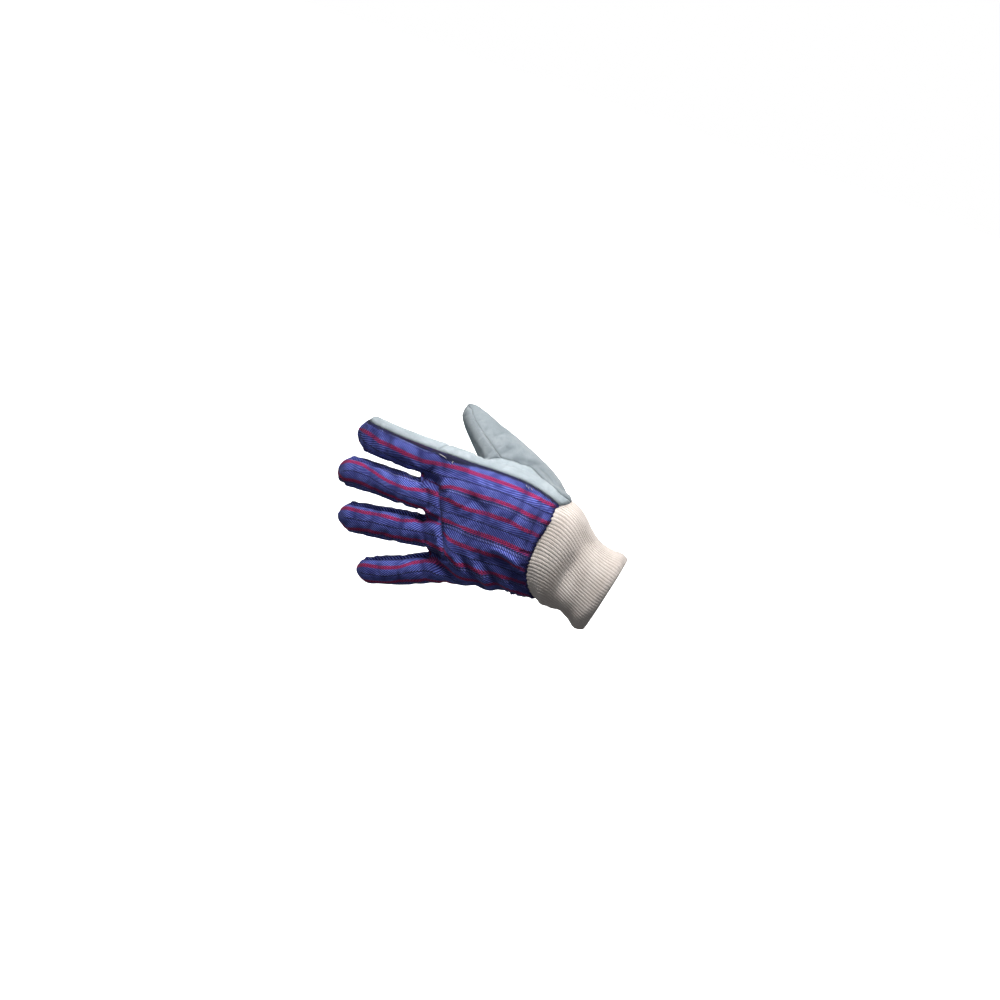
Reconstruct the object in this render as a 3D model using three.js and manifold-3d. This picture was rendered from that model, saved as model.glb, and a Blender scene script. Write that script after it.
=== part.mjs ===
// A left work glove as it stands on a hand: grey split-leather palm, thumb and index finger,
// striped cotton back with strips between the fingers, and a ribbed knit wrist.
// Millimetres. Fingers point to -X, the thumb side is +Z and the back of the hand faces -Y.
// The origin is the centre of the wrist opening. Every panel is a thin curved wall, cut from one
// hollow hand form along the seams, and the hollow stays open from the wrist to the finger ends.
import * as THREE from "three";
import { mergeVertices } from "three/addons/utils/BufferGeometryUtils.js";
import Module from "manifold-3d";

const wasm = await Module();
wasm.setup();

// Driving dimensions
const WALL = 1.8; // leather or cotton, with the seam allowance that stiffens it
const KNIT_WALL = 2.6; // double knit of the wrist
const SEAM_GAP = 0.3; // clearance between two panels sewn edge to edge
const FINGER_SIDES = 14;
const PALM_SIDES = 28;
const CUFF_SIDES = 32;
const FINGER_SQUARENESS = 2.7; // exponent of the section: 2 is an ellipse, more is boxier
const PALM_SQUARENESS = 2.4;
const SEAM_INSET = 0.8; // share of a finger's half width that its front and back panels cover
const PALM_EDGE_INSET = 0.93; // the same share at the little-finger edge of the palm
const INDEX_WRAP = 0.72; // share of the index finger's half width where its back meets the leather
const TIP_LENGTH = 8; // the stretch over which a finger end rounds off
const REACH = 45; // how far the cutting forms reach past the surface
const OUTSIDE = 20; // how far they reach past its edges

// Sections of each finger from inside the palm to its tip: centre, half width and half depth
const FINGERS = {
  index: [
    { x: -146, y: 1, z: 60.5, width: 16.4, depth: 14 },
    { x: -180, y: 0, z: 60, width: 16.2, depth: 13 },
    { x: -215, y: 0, z: 59.2, width: 16, depth: 11.8 },
    { x: -250, y: 5, z: 58.6, width: 15.4, depth: 10 },
  ],
  middle: [
    { x: -146, y: 0, z: 27, width: 14.6, depth: 14 },
    { x: -180, y: -2, z: 26, width: 14.2, depth: 13 },
    { x: -218, y: -1, z: 24.5, width: 13.9, depth: 12 },
    { x: -258, y: 5, z: 19.6, width: 13.8, depth: 10.4 },
  ],
  ring: [
    { x: -140, y: 0, z: 0, width: 14.8, depth: 13.5 },
    { x: -172, y: -1, z: -5.4, width: 14.8, depth: 12.5 },
    { x: -206, y: -1, z: -12.3, width: 14.8, depth: 11.5 },
    { x: -245, y: 4, z: -20.8, width: 13.6, depth: 10 },
  ],
  little: [
    { x: -122, y: 2, z: -20.5, width: 14.5, depth: 14 },
    { x: -150, y: 1, z: -34.6, width: 14.3, depth: 12.5 },
    { x: -178, y: 0, z: -48.6, width: 13.4, depth: 11 },
    { x: -214, y: 4, z: -63.8, width: 11.6, depth: 9.2 },
  ],
};

// The thumb stands up from the heel of the palm and forward of it
const THUMB = [
  { x: -70, y: 9, z: 47, width: 25, depth: 20 },
  { x: -96, y: 18, z: 61, width: 26, depth: 19 },
  { x: -124, y: 29, z: 78, width: 22, depth: 15.5 },
  { x: -148, y: 36, z: 91, width: 16.5, depth: 12 },
  { x: -169, y: 40, z: 101, width: 11, depth: 8.5 },
];
const THUMB_ACROSS = new THREE.Vector3(0, -0.75, -0.66); // towards the seam that faces the index finger

// Sections of the palm from the wrist seam to the crotches; lean turns a section in the palm's
// plane, and wrap is the share of the half width where the back meets the leather that wraps round
const PALM = [
  { x: -48, y: 1, z: 20.5, width: 49, depth: 21, lean: 0, wrap: 0.8 },
  { x: -70, y: 2, z: 21.3, width: 53.2, depth: 22, lean: 0, wrap: 0.88 },
  { x: -95, y: 3, z: 21.3, width: 55.7, depth: 22, lean: 3, wrap: 0.93 },
  { x: -125, y: 2, z: 18.3, width: 58.2, depth: 20, lean: 9, wrap: 0.94 },
  { x: -150, y: 0, z: 15, width: 60.3, depth: 16.5, lean: 16, wrap: 0.94 },
  { x: -167, y: -1, z: 13.5, width: 58, depth: 13, lean: 22, wrap: 0.94 },
  { x: -173, y: -1, z: 12.5, width: 56, depth: 10.5, lean: 23, wrap: 0.94 },
];

// Sections of the knit wrist from inside the seam to the opening
const CUFF = [
  { x: -76, y: 1.5, z: 21.5, width: 52, depth: 21.5, lean: 0 },
  { x: -58, y: 1, z: 20.5, width: 48.5, depth: 21.5, lean: -1 },
  { x: -46, y: 1, z: 16.8, width: 43.5, depth: 22, lean: -4 },
  { x: -33, y: 1, z: 11, width: 39, depth: 23, lean: -8 },
  { x: -20, y: 0.5, z: 6, width: 36.5, depth: 24, lean: -11 },
  { x: -8, y: 0, z: 2, width: 36.5, depth: 25, lean: -12 },
  { x: 0, y: 0, z: 0, width: 35.5, depth: 25, lean: -12 },
];

// Soft folds and dents of the worn shell, on its back (side -1) or palm (side 1): the middle, the
// turn of the fold's line from the hand's axis, its reach along and across, and its rise
const FOLDS = [
  { side: -1, x: -88, z: 6, turn: 8, length: 22, width: 8, rise: 2 },
  { side: -1, x: -112, z: -12, turn: 38, length: 20, width: 7, rise: -1.8 },
  { side: -1, x: -104, z: 44, turn: -18, length: 24, width: 9, rise: 1.4 },
  { side: -1, x: -138, z: 18, turn: 70, length: 24, width: 7, rise: -1.6 },
  { side: -1, x: -34, z: 14, turn: 84, length: 22, width: 7, rise: -2.2 },
  { side: 1, x: -140, z: 12, turn: 74, length: 34, width: 7, rise: -2.4 },
  { side: 1, x: -108, z: 4, turn: 52, length: 26, width: 8, rise: -2 },
  { side: 1, x: -82, z: 14, turn: 20, length: 24, width: 8, rise: 2.2 },
  { side: 1, x: -36, z: 12, turn: 90, length: 24, width: 7, rise: -2 },
];
// The little-finger edge of the palm puckers between these two places
const EDGE_WAVE = { from: -128, to: -56, period: 24, rise: 1.5 };

// The thumb seam: a plane through its two ends on the back and a point on the palm
const THUMB_SEAM = [
  new THREE.Vector3(-126, -4, 82),
  new THREE.Vector3(-60, -3, 75),
  new THREE.Vector3(-90, 25, 48),
];
// The index finger's leather starts at a seam across its root, further out on the back
const INDEX_SEAM = { front: -152, back: -186, lean: -14, low: 42, high: 86 };
const THUMB_CROTCH = 6; // the seam's reach past its first point, round the thumb's crotch
const CROTCH_TURN = 2.2; // how far the strips between the fingers turn onto the palm
const MERGE = 0.002; // vertices closer than this become one
const SCRAP = 60; // slivers below this volume, in cubic millimetres, are trimmings

// The backs of the middle and ring fingers are one piece, seamed across the knuckles
const KNUCKLE_OUTLINE = (inset) => [
  [-166 - inset, 42 - inset],
  [-290, 42 - inset],
  [-290, -48],
  [-250, -41 + inset],
  [-158, -19.5 + inset],
  [-140 - inset, -19 + inset],
];

// The wrist seam bows towards the fingers over the back and the palm
const WRIST_SEAM = { edge: -57.5, bow: 11.5, centre: 19, halfWidth: 50 };

const radians = (degrees) => (degrees * Math.PI) / 180;
const COLUMNS = ["x", "y", "z", "width", "depth", "lean", "wrap"];

// A row between the table's rows, by a Catmull-Rom curve through each column
function rowAt(rows, t) {
  const i = Math.min(Math.floor(t), rows.length - 2);
  const f = t - i;
  const at = (k) => rows[Math.max(0, Math.min(rows.length - 1, k))];
  const made = {};
  for (const c of COLUMNS) {
    const [a, b, d, e] = [at(i - 1), at(i), at(i + 1), at(i + 2)].map((r) => r[c] ?? 0);
    const slope0 = i > 0 ? (d - a) / 2 : d - b;
    const slope1 = i < rows.length - 2 ? (e - b) / 2 : d - b;
    made[c] =
      (2 * f ** 3 - 3 * f ** 2 + 1) * b +
      (f ** 3 - 2 * f ** 2 + f) * slope0 +
      (3 * f ** 2 - 2 * f ** 3) * d +
      (f ** 3 - f ** 2) * slope1;
  }
  return made;
}

const placeOf = (row) => new THREE.Vector3(row.x, row.y, row.z);

// Stations along a table: centre, sizes, and the along, across and front directions
function stationsOf(rows, steps, acrossHint) {
  const made = [];
  for (let k = 0; k <= steps; k++) {
    const t = ((rows.length - 1) * k) / steps;
    const row = rowAt(rows, t);
    const before = placeOf(rowAt(rows, Math.max(0, t - 0.05)));
    const after = placeOf(rowAt(rows, Math.min(rows.length - 1, t + 0.05)));
    const along = after.sub(before).normalize();
    let across;
    let front;
    if (acrossHint) {
      across = acrossHint.clone().addScaledVector(along, -acrossHint.dot(along)).normalize();
      front = across.clone().cross(along);
    } else {
      front = new THREE.Vector3(0, 1, 0).addScaledVector(along, -along.y).normalize();
      across = front.clone().cross(along);
    }
    made.push({ ...row, centre: placeOf(row), along, across, front });
  }
  return made;
}

// Palm and wrist sections stand in planes that only lean, so their across direction is set by lean
function leaningStations(rows, steps) {
  return stationsOf(rows, steps).map((s) => {
    const lean = radians(s.lean);
    const along = new THREE.Vector3(-Math.cos(lean), 0, -Math.sin(lean));
    const across = new THREE.Vector3(-Math.sin(lean), 0, Math.cos(lean));
    return { ...s, along, across, front: new THREE.Vector3(0, 1, 0) };
  });
}

// A station moved along its own direction, with its sizes changed
function shifted(station, along, width, depth) {
  const centre = station.centre.clone().addScaledVector(station.along, along);
  return { ...station, centre, width, depth };
}

// The finger's stations with a rounded end; inset makes the smaller form of the hollow
function roundedEnd(stations, inset) {
  const last = stations[stations.length - 1];
  const body = stations
    .filter((s) => s.centre.distanceTo(last.centre) > TIP_LENGTH * 1.3)
    .map((s) => shifted(s, 0, s.width - inset, s.depth - inset));
  const tip = [1, 0.6, 0.25, 0].map((back) => {
    const round = (1 - (1 - back) ** 2.6) ** (1 / 2.6);
    const share = back === 0 ? 0.45 : round;
    return shifted(
      last,
      -inset - back * TIP_LENGTH,
      (last.width - inset) * share,
      (last.depth - inset) * share,
    );
  });
  return [...body, ...tip];
}

// Corners of a section: a superellipse, which a shape function may still move by its share of the
// way to the front and across
function roundRing(s, sides, squareness, moved = (corner) => corner) {
  const ring = [];
  for (let k = 0; k < sides; k++) {
    const a = (2 * Math.PI * (k + 0.5)) / sides;
    const power = (v) => Math.sign(v) * Math.abs(v) ** (2 / squareness);
    const corner = s.centre
      .clone()
      .addScaledVector(s.across, s.width * power(Math.cos(a)))
      .addScaledVector(s.front, s.depth * power(Math.sin(a)));
    ring.push(moved(corner, Math.sin(a), Math.cos(a)));
  }
  return ring;
}

// A corner of the palm or wrist after the folds and the puckered edge
function creased(corner, front, across) {
  const { x, z } = corner;
  for (const f of FOLDS) {
    if (f.side * front <= 0) continue;
    const [c, s] = [Math.cos(radians(f.turn)), Math.sin(radians(f.turn))];
    const along = ((x - f.x) * c + (z - f.z) * s) / f.length;
    const beside = ((z - f.z) * c - (x - f.x) * s) / f.width;
    corner.y += front * f.rise * Math.exp(-(along ** 2) - beside ** 2);
  }
  const { from, to, period, rise } = EDGE_WAVE;
  if (across < 0 && x > from && x < to) {
    const fade = Math.sin((Math.PI * (x - from)) / (to - from));
    corner.z += across ** 3 * rise * fade * Math.sin((2 * Math.PI * (x - from)) / period);
  }
  return corner;
}

// Corners of a cutting form's section: a rectangle between two widths and two depths
function boxRing(s, low, high, back, front) {
  const corner = (w, d) => s.centre.clone().addScaledVector(s.across, w).addScaledVector(s.front, d);
  return [corner(low, back), corner(high, back), corner(high, front), corner(low, front)];
}

// A closed solid through rings of equal size, with flat ends
function loft(rings) {
  const n = rings[0].length;
  const points = rings.flat();
  const index = [];
  for (let r = 0; r + 1 < rings.length; r++)
    for (let k = 0; k < n; k++) {
      const a = r * n + k;
      const b = r * n + ((k + 1) % n);
      index.push(a, b, b + n, a, b + n, a + n);
    }
  for (const [start, turn] of [
    [0, 1],
    [(rings.length - 1) * n, 0],
  ])
    for (let k = 1; k + 1 < n; k++)
      index.push(start, start + (turn ? k + 1 : k), start + (turn ? k : k + 1));
  return solidOf(points, index);
}

// A manifold solid of points and triangles, turned right side out
function solidOf(points, index, closer = 1e-4) {
  const geometry = new THREE.BufferGeometry().setFromPoints(points);
  geometry.setIndex(index);
  const merged = mergeVertices(geometry, closer);
  const triangles = (order) => {
    const out = new Uint32Array(merged.index.array);
    if (order)
      for (let i = 0; i < out.length; i += 3) [out[i + 1], out[i + 2]] = [out[i + 2], out[i + 1]];
    return out;
  };
  const build = (order) =>
    new wasm.Manifold(
      new wasm.Mesh({
        numProp: 3,
        vertProperties: merged.attributes.position.array,
        triVerts: triangles(order),
      }),
    );
  const made = build(false);
  return made.volume() < 0 ? build(true) : made;
}

const union = (...solids) => solids.reduce((a, b) => a.add(b));

// The hollow hand form
const fingerStations = Object.fromEntries(
  Object.entries(FINGERS).map(([name, rows]) => [name, stationsOf(rows, 5)]),
);
const thumbStations = stationsOf(THUMB, 6, THUMB_ACROSS);
const palmStations = leaningStations(PALM, 15);
const cuffStations = leaningStations(CUFF, 9);

function fingerForm(stations, inset) {
  return loft(roundedEnd(stations, inset).map((s) => roundRing(s, FINGER_SIDES, FINGER_SQUARENESS)));
}

const palmRing = (s, along, inset) =>
  roundRing(shifted(s, along, s.width - inset, s.depth - inset), PALM_SIDES, PALM_SQUARENESS, creased);

function palmForm(inset) {
  const last = palmStations.length - 1;
  const rings = palmStations.map((s, k) => palmRing(s, k === last ? -inset : 0, inset));
  if (inset) rings.unshift(palmRing(palmStations[0], -REACH, inset));
  return loft(rings);
}

const handForm = (inset) =>
  union(
    palmForm(inset),
    fingerForm(thumbStations, inset),
    ...Object.values(fingerStations).map((s) => fingerForm(s, inset)),
  );

// Everything on the wrist side of the seam, from a curtain that bows with the seam
function wristSide(shift) {
  const steps = 12;
  const rings = [];
  for (let k = 0; k <= steps; k++) {
    const w = -1.3 + (2.6 * k) / steps;
    const z = WRIST_SEAM.centre + w * WRIST_SEAM.halfWidth;
    const x = WRIST_SEAM.edge - WRIST_SEAM.bow * Math.max(0, 1 - w * w) + shift;
    rings.push([
      new THREE.Vector3(x, -REACH, z),
      new THREE.Vector3(REACH, -REACH, z),
      new THREE.Vector3(REACH, REACH, z),
      new THREE.Vector3(x, REACH, z),
    ]);
  }
  return loft(rings);
}

const wall = handForm(0).subtract(handForm(WALL)).subtract(wristSide(-SEAM_GAP / 2));

// Cutting forms. Each covers one panel's share of the section and reaches past the surface;
// grow widens it by the seam's clearance. A share of OUT means the whole of that side.
const OUT = Infinity;
const WRAP = "wrap"; // the share that the palm's table gives
const half = SEAM_GAP / 2;

function sector(stations, low, high, back, front, grow) {
  const limit = (share, s, side) => {
    const part = share === WRAP ? s.wrap : share;
    return (Number.isFinite(part) ? part * s.width : side * (s.width + OUTSIDE)) + side * grow;
  };
  const last = stations.length - 1;
  return loft(
    stations
      .map((s, k) => shifted(s, k === 0 ? -grow : k === last ? grow : 0, s.width, s.depth))
      .map((s) => boxRing(s, limit(low, s, -1), limit(high, s, 1), back - grow, front + grow)),
  );
}

// A finger's sector runs on past its tip, so its front and back panels meet there
function fingerSector(name, low, high, back, front, grow) {
  const stations = fingerStations[name];
  const last = stations[stations.length - 1];
  return sector([...stations, shifted(last, 12, last.width, last.depth)], low, high, back, front, grow);
}

// A palm sector stops short of the crotches, so the strips between the fingers run round them
function palmSector(low, high, back, front, grow) {
  const last = palmStations[palmStations.length - 1];
  const end = shifted(last, -CROTCH_TURN, last.width, last.depth);
  const body = palmStations.filter((s) => s.centre.distanceTo(last.centre) > 5 * CROTCH_TURN);
  return sector([...body, end], low, high, back, front, grow);
}

// A flat outline in the palm's plane, as wide as the whole hand from back to front
function outlinePrism(corners, back = -REACH, front = REACH) {
  return loft([back, front].map((y) => corners.map(([x, z]) => new THREE.Vector3(x, y, z))));
}

// The thumb's region: the palm above a plane through the thumb seam, and the thumb itself
function thumbRegion(grow) {
  const [a, b, c] = THUMB_SEAM;
  const along = b.clone().sub(a).normalize();
  const up = along.clone().cross(c.clone().sub(a)).normalize();
  if (up.z < 0) up.negate();
  const down = along.clone().cross(up);
  const ring = (p) =>
    [
      [-2 * REACH, -grow],
      [2 * REACH, -grow],
      [2 * REACH, 3 * REACH],
      [-2 * REACH, 3 * REACH],
    ].map(([q, r]) => a.clone().addScaledVector(along, p).addScaledVector(down, q).addScaledVector(up, r));
  const heel = loft([ring(-THUMB_CROTCH - grow), ring(3 * REACH)]);
  const last = thumbStations[thumbStations.length - 1];
  const clear = 6;
  const tube = [...thumbStations.slice(3), shifted(last, 2 * clear, last.width, last.depth)];
  return heel.add(
    loft(tube.map((s) => boxRing(s, -s.width - clear, s.width + clear, -s.depth - clear, s.depth + clear))),
  );
}

// The thumb's back half, on the side that its nail would face
function thumbBackSide(grow) {
  const first = thumbStations[0];
  const last = thumbStations[thumbStations.length - 1];
  const wide = 2 * REACH;
  const run = [shifted(first, -wide, 0, 0), ...thumbStations, shifted(last, REACH, 0, 0)];
  return loft(run.map((s) => boxRing(s, -wide, wide, -wide, grow)));
}

// The index finger's leather is its own piece, seamed across the finger's root
function indexRegion(grow) {
  const rings = [-REACH, REACH].map((y) => {
    const root = (y > 0 ? INDEX_SEAM.front : INDEX_SEAM.back) + grow;
    return [
      [root + INDEX_SEAM.lean, INDEX_SEAM.low],
      [root, INDEX_SEAM.high],
      [-290, INDEX_SEAM.high],
      [-290, INDEX_SEAM.low],
    ].map(([x, z]) => new THREE.Vector3(x, y, z));
  });
  return loft(rings);
}

// Regions of cotton and of leather, each a union of sectors
const backRegion = (grow) =>
  union(
    palmSector(-OUT, WRAP, -REACH, -half, grow),
    palmSector(-OUT, -PALM_EDGE_INSET, -REACH, REACH, grow),
    fingerSector("index", -SEAM_INSET, INDEX_WRAP, -REACH, -half, grow),
    fingerSector("middle", -SEAM_INSET, SEAM_INSET, -REACH, -half, grow),
    fingerSector("ring", -SEAM_INSET, SEAM_INSET, -REACH, -half, grow),
    fingerSector("little", -OUT, SEAM_INSET, -REACH, -half, grow),
    fingerSector("little", -OUT, -SEAM_INSET, -REACH, REACH, grow),
  );
const leatherRegion = (grow) =>
  union(
    palmSector(-PALM_EDGE_INSET, OUT, half, REACH, grow),
    palmSector(WRAP, OUT, -REACH, REACH, grow),
    fingerSector("index", -SEAM_INSET, OUT, half, REACH, grow),
    fingerSector("index", INDEX_WRAP, OUT, -REACH, REACH, grow),
    fingerSector("middle", -SEAM_INSET, SEAM_INSET, half, REACH, grow),
    fingerSector("ring", -SEAM_INSET, SEAM_INSET, half, REACH, grow),
    fingerSector("little", -SEAM_INSET, SEAM_INSET, half, REACH, grow),
  );

// The panels, each cut from the hollow form with its clearance to those cut before it
const thumbWall = wall.intersect(thumbRegion(0));
const handWall = wall.subtract(thumbRegion(SEAM_GAP));
const cotton = handWall.intersect(backRegion(0));
const leather = handWall.intersect(leatherRegion(0)).subtract(backRegion(SEAM_GAP));
const strips = handWall
  .subtract(backRegion(SEAM_GAP))
  .subtract(leatherRegion(SEAM_GAP))
  .decompose()
  .filter((s) => s.volume() > SCRAP);

const largest = (solid) => solid.decompose().reduce((a, b) => (b.volume() > a.volume() ? b : a));

// A solid as its mesh will hold it, in 32-bit numbers with close vertices merged, without slivers
function settled(solid) {
  const { vertProperties, triVerts } = solid.getMesh();
  const points = [];
  for (let i = 0; i < vertProperties.length; i += 3)
    points.push(new THREE.Vector3().fromArray(vertProperties, i));
  return largest(solidOf(points, Array.from(triVerts), MERGE));
}
const middleZ = (solid) => {
  const { min, max } = solid.boundingBox();
  return (min[2] + max[2]) / 2;
};
strips.sort((a, b) => middleZ(b) - middleZ(a));

// The knit wrist: a tube, open at both ends
const cuffRing = (s, inset) =>
  roundRing(shifted(s, 0, s.width - inset, s.depth - inset), CUFF_SIDES, PALM_SQUARENESS, creased);
const movedBy = (s, along) => shifted(s, along, s.width, s.depth);
const cuffHollow = [
  movedBy(cuffStations[0], REACH),
  ...cuffStations,
  movedBy(cuffStations[cuffStations.length - 1], -REACH),
];
const cuff = loft(cuffStations.map((s) => cuffRing(s, 0)))
  .subtract(loft(cuffHollow.map((s) => cuffRing(s, KNIT_WALL))))
  .intersect(wristSide(SEAM_GAP / 2));

const panels = {
  back_panel: cotton.subtract(outlinePrism(KNUCKLE_OUTLINE(0))),
  knuckle_panel: cotton.intersect(outlinePrism(KNUCKLE_OUTLINE(SEAM_GAP))),
  strip_index_middle: strips[0],
  strip_middle_ring: strips[1],
  strip_ring_little: strips[2],
  leather_palm: leather.subtract(indexRegion(SEAM_GAP)),
  leather_index: leather.intersect(indexRegion(0)),
  leather_thumb_back: thumbWall.intersect(thumbBackSide(-half)),
  leather_thumb_front: thumbWall.subtract(thumbBackSide(half)),
  knit_wrist: cuff,
};

// Materials, as the colours show in the photograph
const FINISH = {
  leather: { color: 0xc9d3d4, roughness: 0.92 },
  cotton: { color: 0x4a4a9c, roughness: 0.85 },
  knit: { color: 0xe4d6c8, roughness: 0.9 },
};
const finishOf = (name) =>
  name.startsWith("leather") ? "leather" : name.startsWith("knit") ? "knit" : "cotton";
const materials = Object.fromEntries(
  Object.entries(FINISH).map(([name, look]) => [
    name,
    new THREE.MeshStandardMaterial({ ...look, metalness: 0 }),
  ]),
);

function meshOf(name, solid) {
  const { numProp, vertProperties, triVerts } = solid.getMesh();
  const geometry = new THREE.BufferGeometry();
  geometry.setAttribute("position", new THREE.BufferAttribute(new Float32Array(vertProperties), numProp));
  geometry.setIndex(new THREE.BufferAttribute(new Uint32Array(triVerts), 1));
  geometry.computeVertexNormals();
  const mesh = new THREE.Mesh(geometry, materials[finishOf(name)]);
  mesh.name = name;
  return mesh;
}

const glove = new THREE.Group();
for (const [name, solid] of Object.entries(panels)) {
  glove.add(meshOf(name, settled(solid)));
}

export default glove;
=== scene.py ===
# A left work glove: grey split-leather palm, thumb and index finger, striped cotton back with
# strips between the fingers, and a ribbed knit wrist. Shapes are worked out in millimetres in the
# frame of the CAD part and turned into metres at the end.
import math

import bpy
import numpy as np
from mathutils import Matrix, Vector
from mathutils.kdtree import KDTree


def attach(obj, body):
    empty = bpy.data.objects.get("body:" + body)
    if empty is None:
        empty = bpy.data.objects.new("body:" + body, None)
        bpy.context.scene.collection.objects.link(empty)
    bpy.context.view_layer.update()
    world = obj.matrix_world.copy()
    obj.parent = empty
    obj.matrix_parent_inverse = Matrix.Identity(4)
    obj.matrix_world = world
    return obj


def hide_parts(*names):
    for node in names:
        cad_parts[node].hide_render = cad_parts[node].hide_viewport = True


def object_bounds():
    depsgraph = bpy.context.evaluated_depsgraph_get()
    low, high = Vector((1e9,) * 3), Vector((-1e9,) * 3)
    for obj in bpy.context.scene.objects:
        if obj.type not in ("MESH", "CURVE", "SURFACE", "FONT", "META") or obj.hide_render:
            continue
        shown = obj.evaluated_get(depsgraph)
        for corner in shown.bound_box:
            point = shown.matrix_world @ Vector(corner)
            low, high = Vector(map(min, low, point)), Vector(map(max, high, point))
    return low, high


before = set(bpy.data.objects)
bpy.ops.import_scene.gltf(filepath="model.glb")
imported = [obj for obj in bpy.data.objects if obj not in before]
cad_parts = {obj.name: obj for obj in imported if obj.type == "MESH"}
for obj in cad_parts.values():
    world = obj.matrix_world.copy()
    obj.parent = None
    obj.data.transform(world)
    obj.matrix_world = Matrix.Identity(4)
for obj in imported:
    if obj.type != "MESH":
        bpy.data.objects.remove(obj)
cad_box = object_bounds()

MM = 0.001
dice = np.random.default_rng(7)

# Sections, as in the part: centre, half width, half depth and, for palm and wrist, lean in degrees
INDEX = [
    (-146, 1, 60.5, 16.4, 14),
    (-180, 0, 60, 16.2, 13),
    (-215, 0, 59.6, 16.4, 11.8),
    (-250, 5, 60, 16.6, 10),
]
MIDDLE = [
    (-146, 0, 27, 14.6, 14),
    (-180, -2, 26, 14.2, 13),
    (-218, -1, 24.5, 13.9, 12),
    (-258, 5, 19.6, 13.8, 10.4),
]
RING = [
    (-140, 0, 0, 14.8, 13.5),
    (-172, -1, -5.4, 14.8, 12.5),
    (-206, -1, -12.3, 14.8, 11.5),
    (-245, 4, -20.8, 13.6, 10),
]
LITTLE = [
    (-122, 2, -20.5, 14.5, 14),
    (-150, 1, -34.6, 14.3, 12.5),
    (-178, 0, -48.6, 13.4, 11),
    (-214, 4, -63.8, 11.6, 9.2),
]
THUMB = [
    (-57, 0, 39, 17, 11),
    (-70, 8, 47, 24, 18),
    (-96, 18, 61, 26, 19),
    (-125, 28, 76, 21, 15.5),
    (-149, 35, 88.5, 15, 12),
    (-163, 39, 97, 10.8, 9.2),
    (-171, 41.5, 105, 6.2, 6),
]
THUMB_ACROSS = (0, -0.75, -0.66)
PALM = [
    (-48, 1, 20.5, 49, 21, 0, 0.8),
    (-70, 2, 21.3, 53.2, 22, 0, 0.88),
    (-95, 3, 21.3, 55.7, 22, 3, 0.93),
    (-125, 2, 18.3, 58.2, 20, 9, 0.94),
    (-150, 0, 15, 60.3, 16.5, 16, 0.94),
    (-167, -1, 13.5, 58, 13, 22, 0.94),
    (-173, -1, 12.5, 56, 10.5, 23, 0.94),
]
CUFF = [
    (-76, 1.5, 21.5, 52, 21.5, 0, 0),
    (-58, 1, 21, 49.2, 21.5, -1, 0),
    (-46, 1, 18.2, 45, 22, -4, 0),
    (-33, 1, 11, 39, 23, -8, 0),
    (-20, 0.5, 6, 36.5, 24, -11, 0),
    (-8, 0, 2, 36.5, 25, -12, 0),
    (0, 0, 0, 35.5, 25, -12, 0),
]
# Soft folds of the worn shell, as in the part: side, x, z, turn, length, width, rise
SHELL_FOLDS = [
    (-1, -88, 6, 8, 22, 8, 2),
    (-1, -112, -12, 38, 20, 7, -1.8),
    (-1, -104, 44, -18, 24, 9, 1.4),
    (-1, -138, 18, 70, 24, 7, -1.6),
    (-1, -34, 14, 84, 22, 7, -2.2),
    (1, -140, 12, 74, 34, 7, -2.4),
    (1, -108, 4, 52, 26, 8, -2),
    (1, -82, 14, 20, 24, 8, 2.2),
    (1, -36, 12, 90, 24, 7, -2),
]
# How much higher the thumb's seam runs on the back, at places along the glove
THUMB_SEAM = [(-130, 3), (-124.7, 3.5), (-121.6, 3.2), (-117, 3.4), (-106.5, 6.3)]
THUMB_SEAM += [(-99.3, 9.8), (-93.8, 9.9), (-82.4, 7.3), (-71, 1), (-63.7, -2.2)]


# Camera: the photograph's view, its frame 1000 by 1000
AZIMUTH, ELEVATION, ROLL = (math.radians(angle) for angle in (7, 18, 18.8))
DISTANCE, LEFT, RAISED = 1500, 90.5, 81.8
LENS, SENSOR = 62.07, 36


def make_camera():
    level = Vector((math.cos(AZIMUTH), math.sin(AZIMUTH), 0))
    ahead = Vector((math.sin(AZIMUTH), -math.cos(AZIMUTH), 0))
    back = ahead * math.cos(ELEVATION) + Vector((0, 0, math.sin(ELEVATION)))
    raised = back.cross(level)
    right = level * math.cos(ROLL) + raised * math.sin(ROLL)
    up = raised * math.cos(ROLL) - level * math.sin(ROLL)
    place = (back * DISTANCE - right * LEFT + up * RAISED) * MM
    data = bpy.data.cameras.new("camera")
    data.lens, data.sensor_width = LENS, SENSOR
    data.clip_start, data.clip_end = 0.05, 50
    camera = bpy.data.objects.new("camera", data)
    bpy.context.scene.collection.objects.link(camera)
    rows = [[right[i], up[i], back[i], place[i]] for i in range(3)]
    camera.matrix_world = Matrix(rows + [[0, 0, 0, 1]])
    bpy.context.scene.camera = camera


make_camera()


# Curves and sections
def unit(v):
    return v / np.maximum(np.linalg.norm(v, axis=-1, keepdims=True), 1e-9)


def spline(rows, t):
    """Catmull-Rom values of a table at places t, counted in rows."""
    rows = np.asarray(rows, float)
    n = len(rows)
    t = np.clip(np.atleast_1d(np.asarray(t, float)), 0, n - 1)
    i = np.minimum(t.astype(int), n - 2)
    f = (t - i)[:, None]
    a, b, c, d = (rows[np.clip(i + k, 0, n - 1)] for k in (-1, 0, 1, 2))
    start = np.where((i == 0)[:, None], c - b, (c - a) / 2)
    end = np.where((i == n - 2)[:, None], c - b, (d - b) / 2)
    return (
        (2 * f**3 - 3 * f**2 + 1) * b
        + (f**3 - 2 * f**2 + f) * start
        + (3 * f**2 - 2 * f**3) * c
        + (f**3 - f**2) * end
    )


def lengths_along(line):
    """Distance of each point of a line from its first one, along the line."""
    return np.concatenate([[0], np.cumsum(np.linalg.norm(np.diff(line, axis=0), axis=1))])


def smooth(low, high, x):
    t = np.clip((x - low) / (high - low), 0, 1)
    return t * t * (3 - 2 * t)


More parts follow.
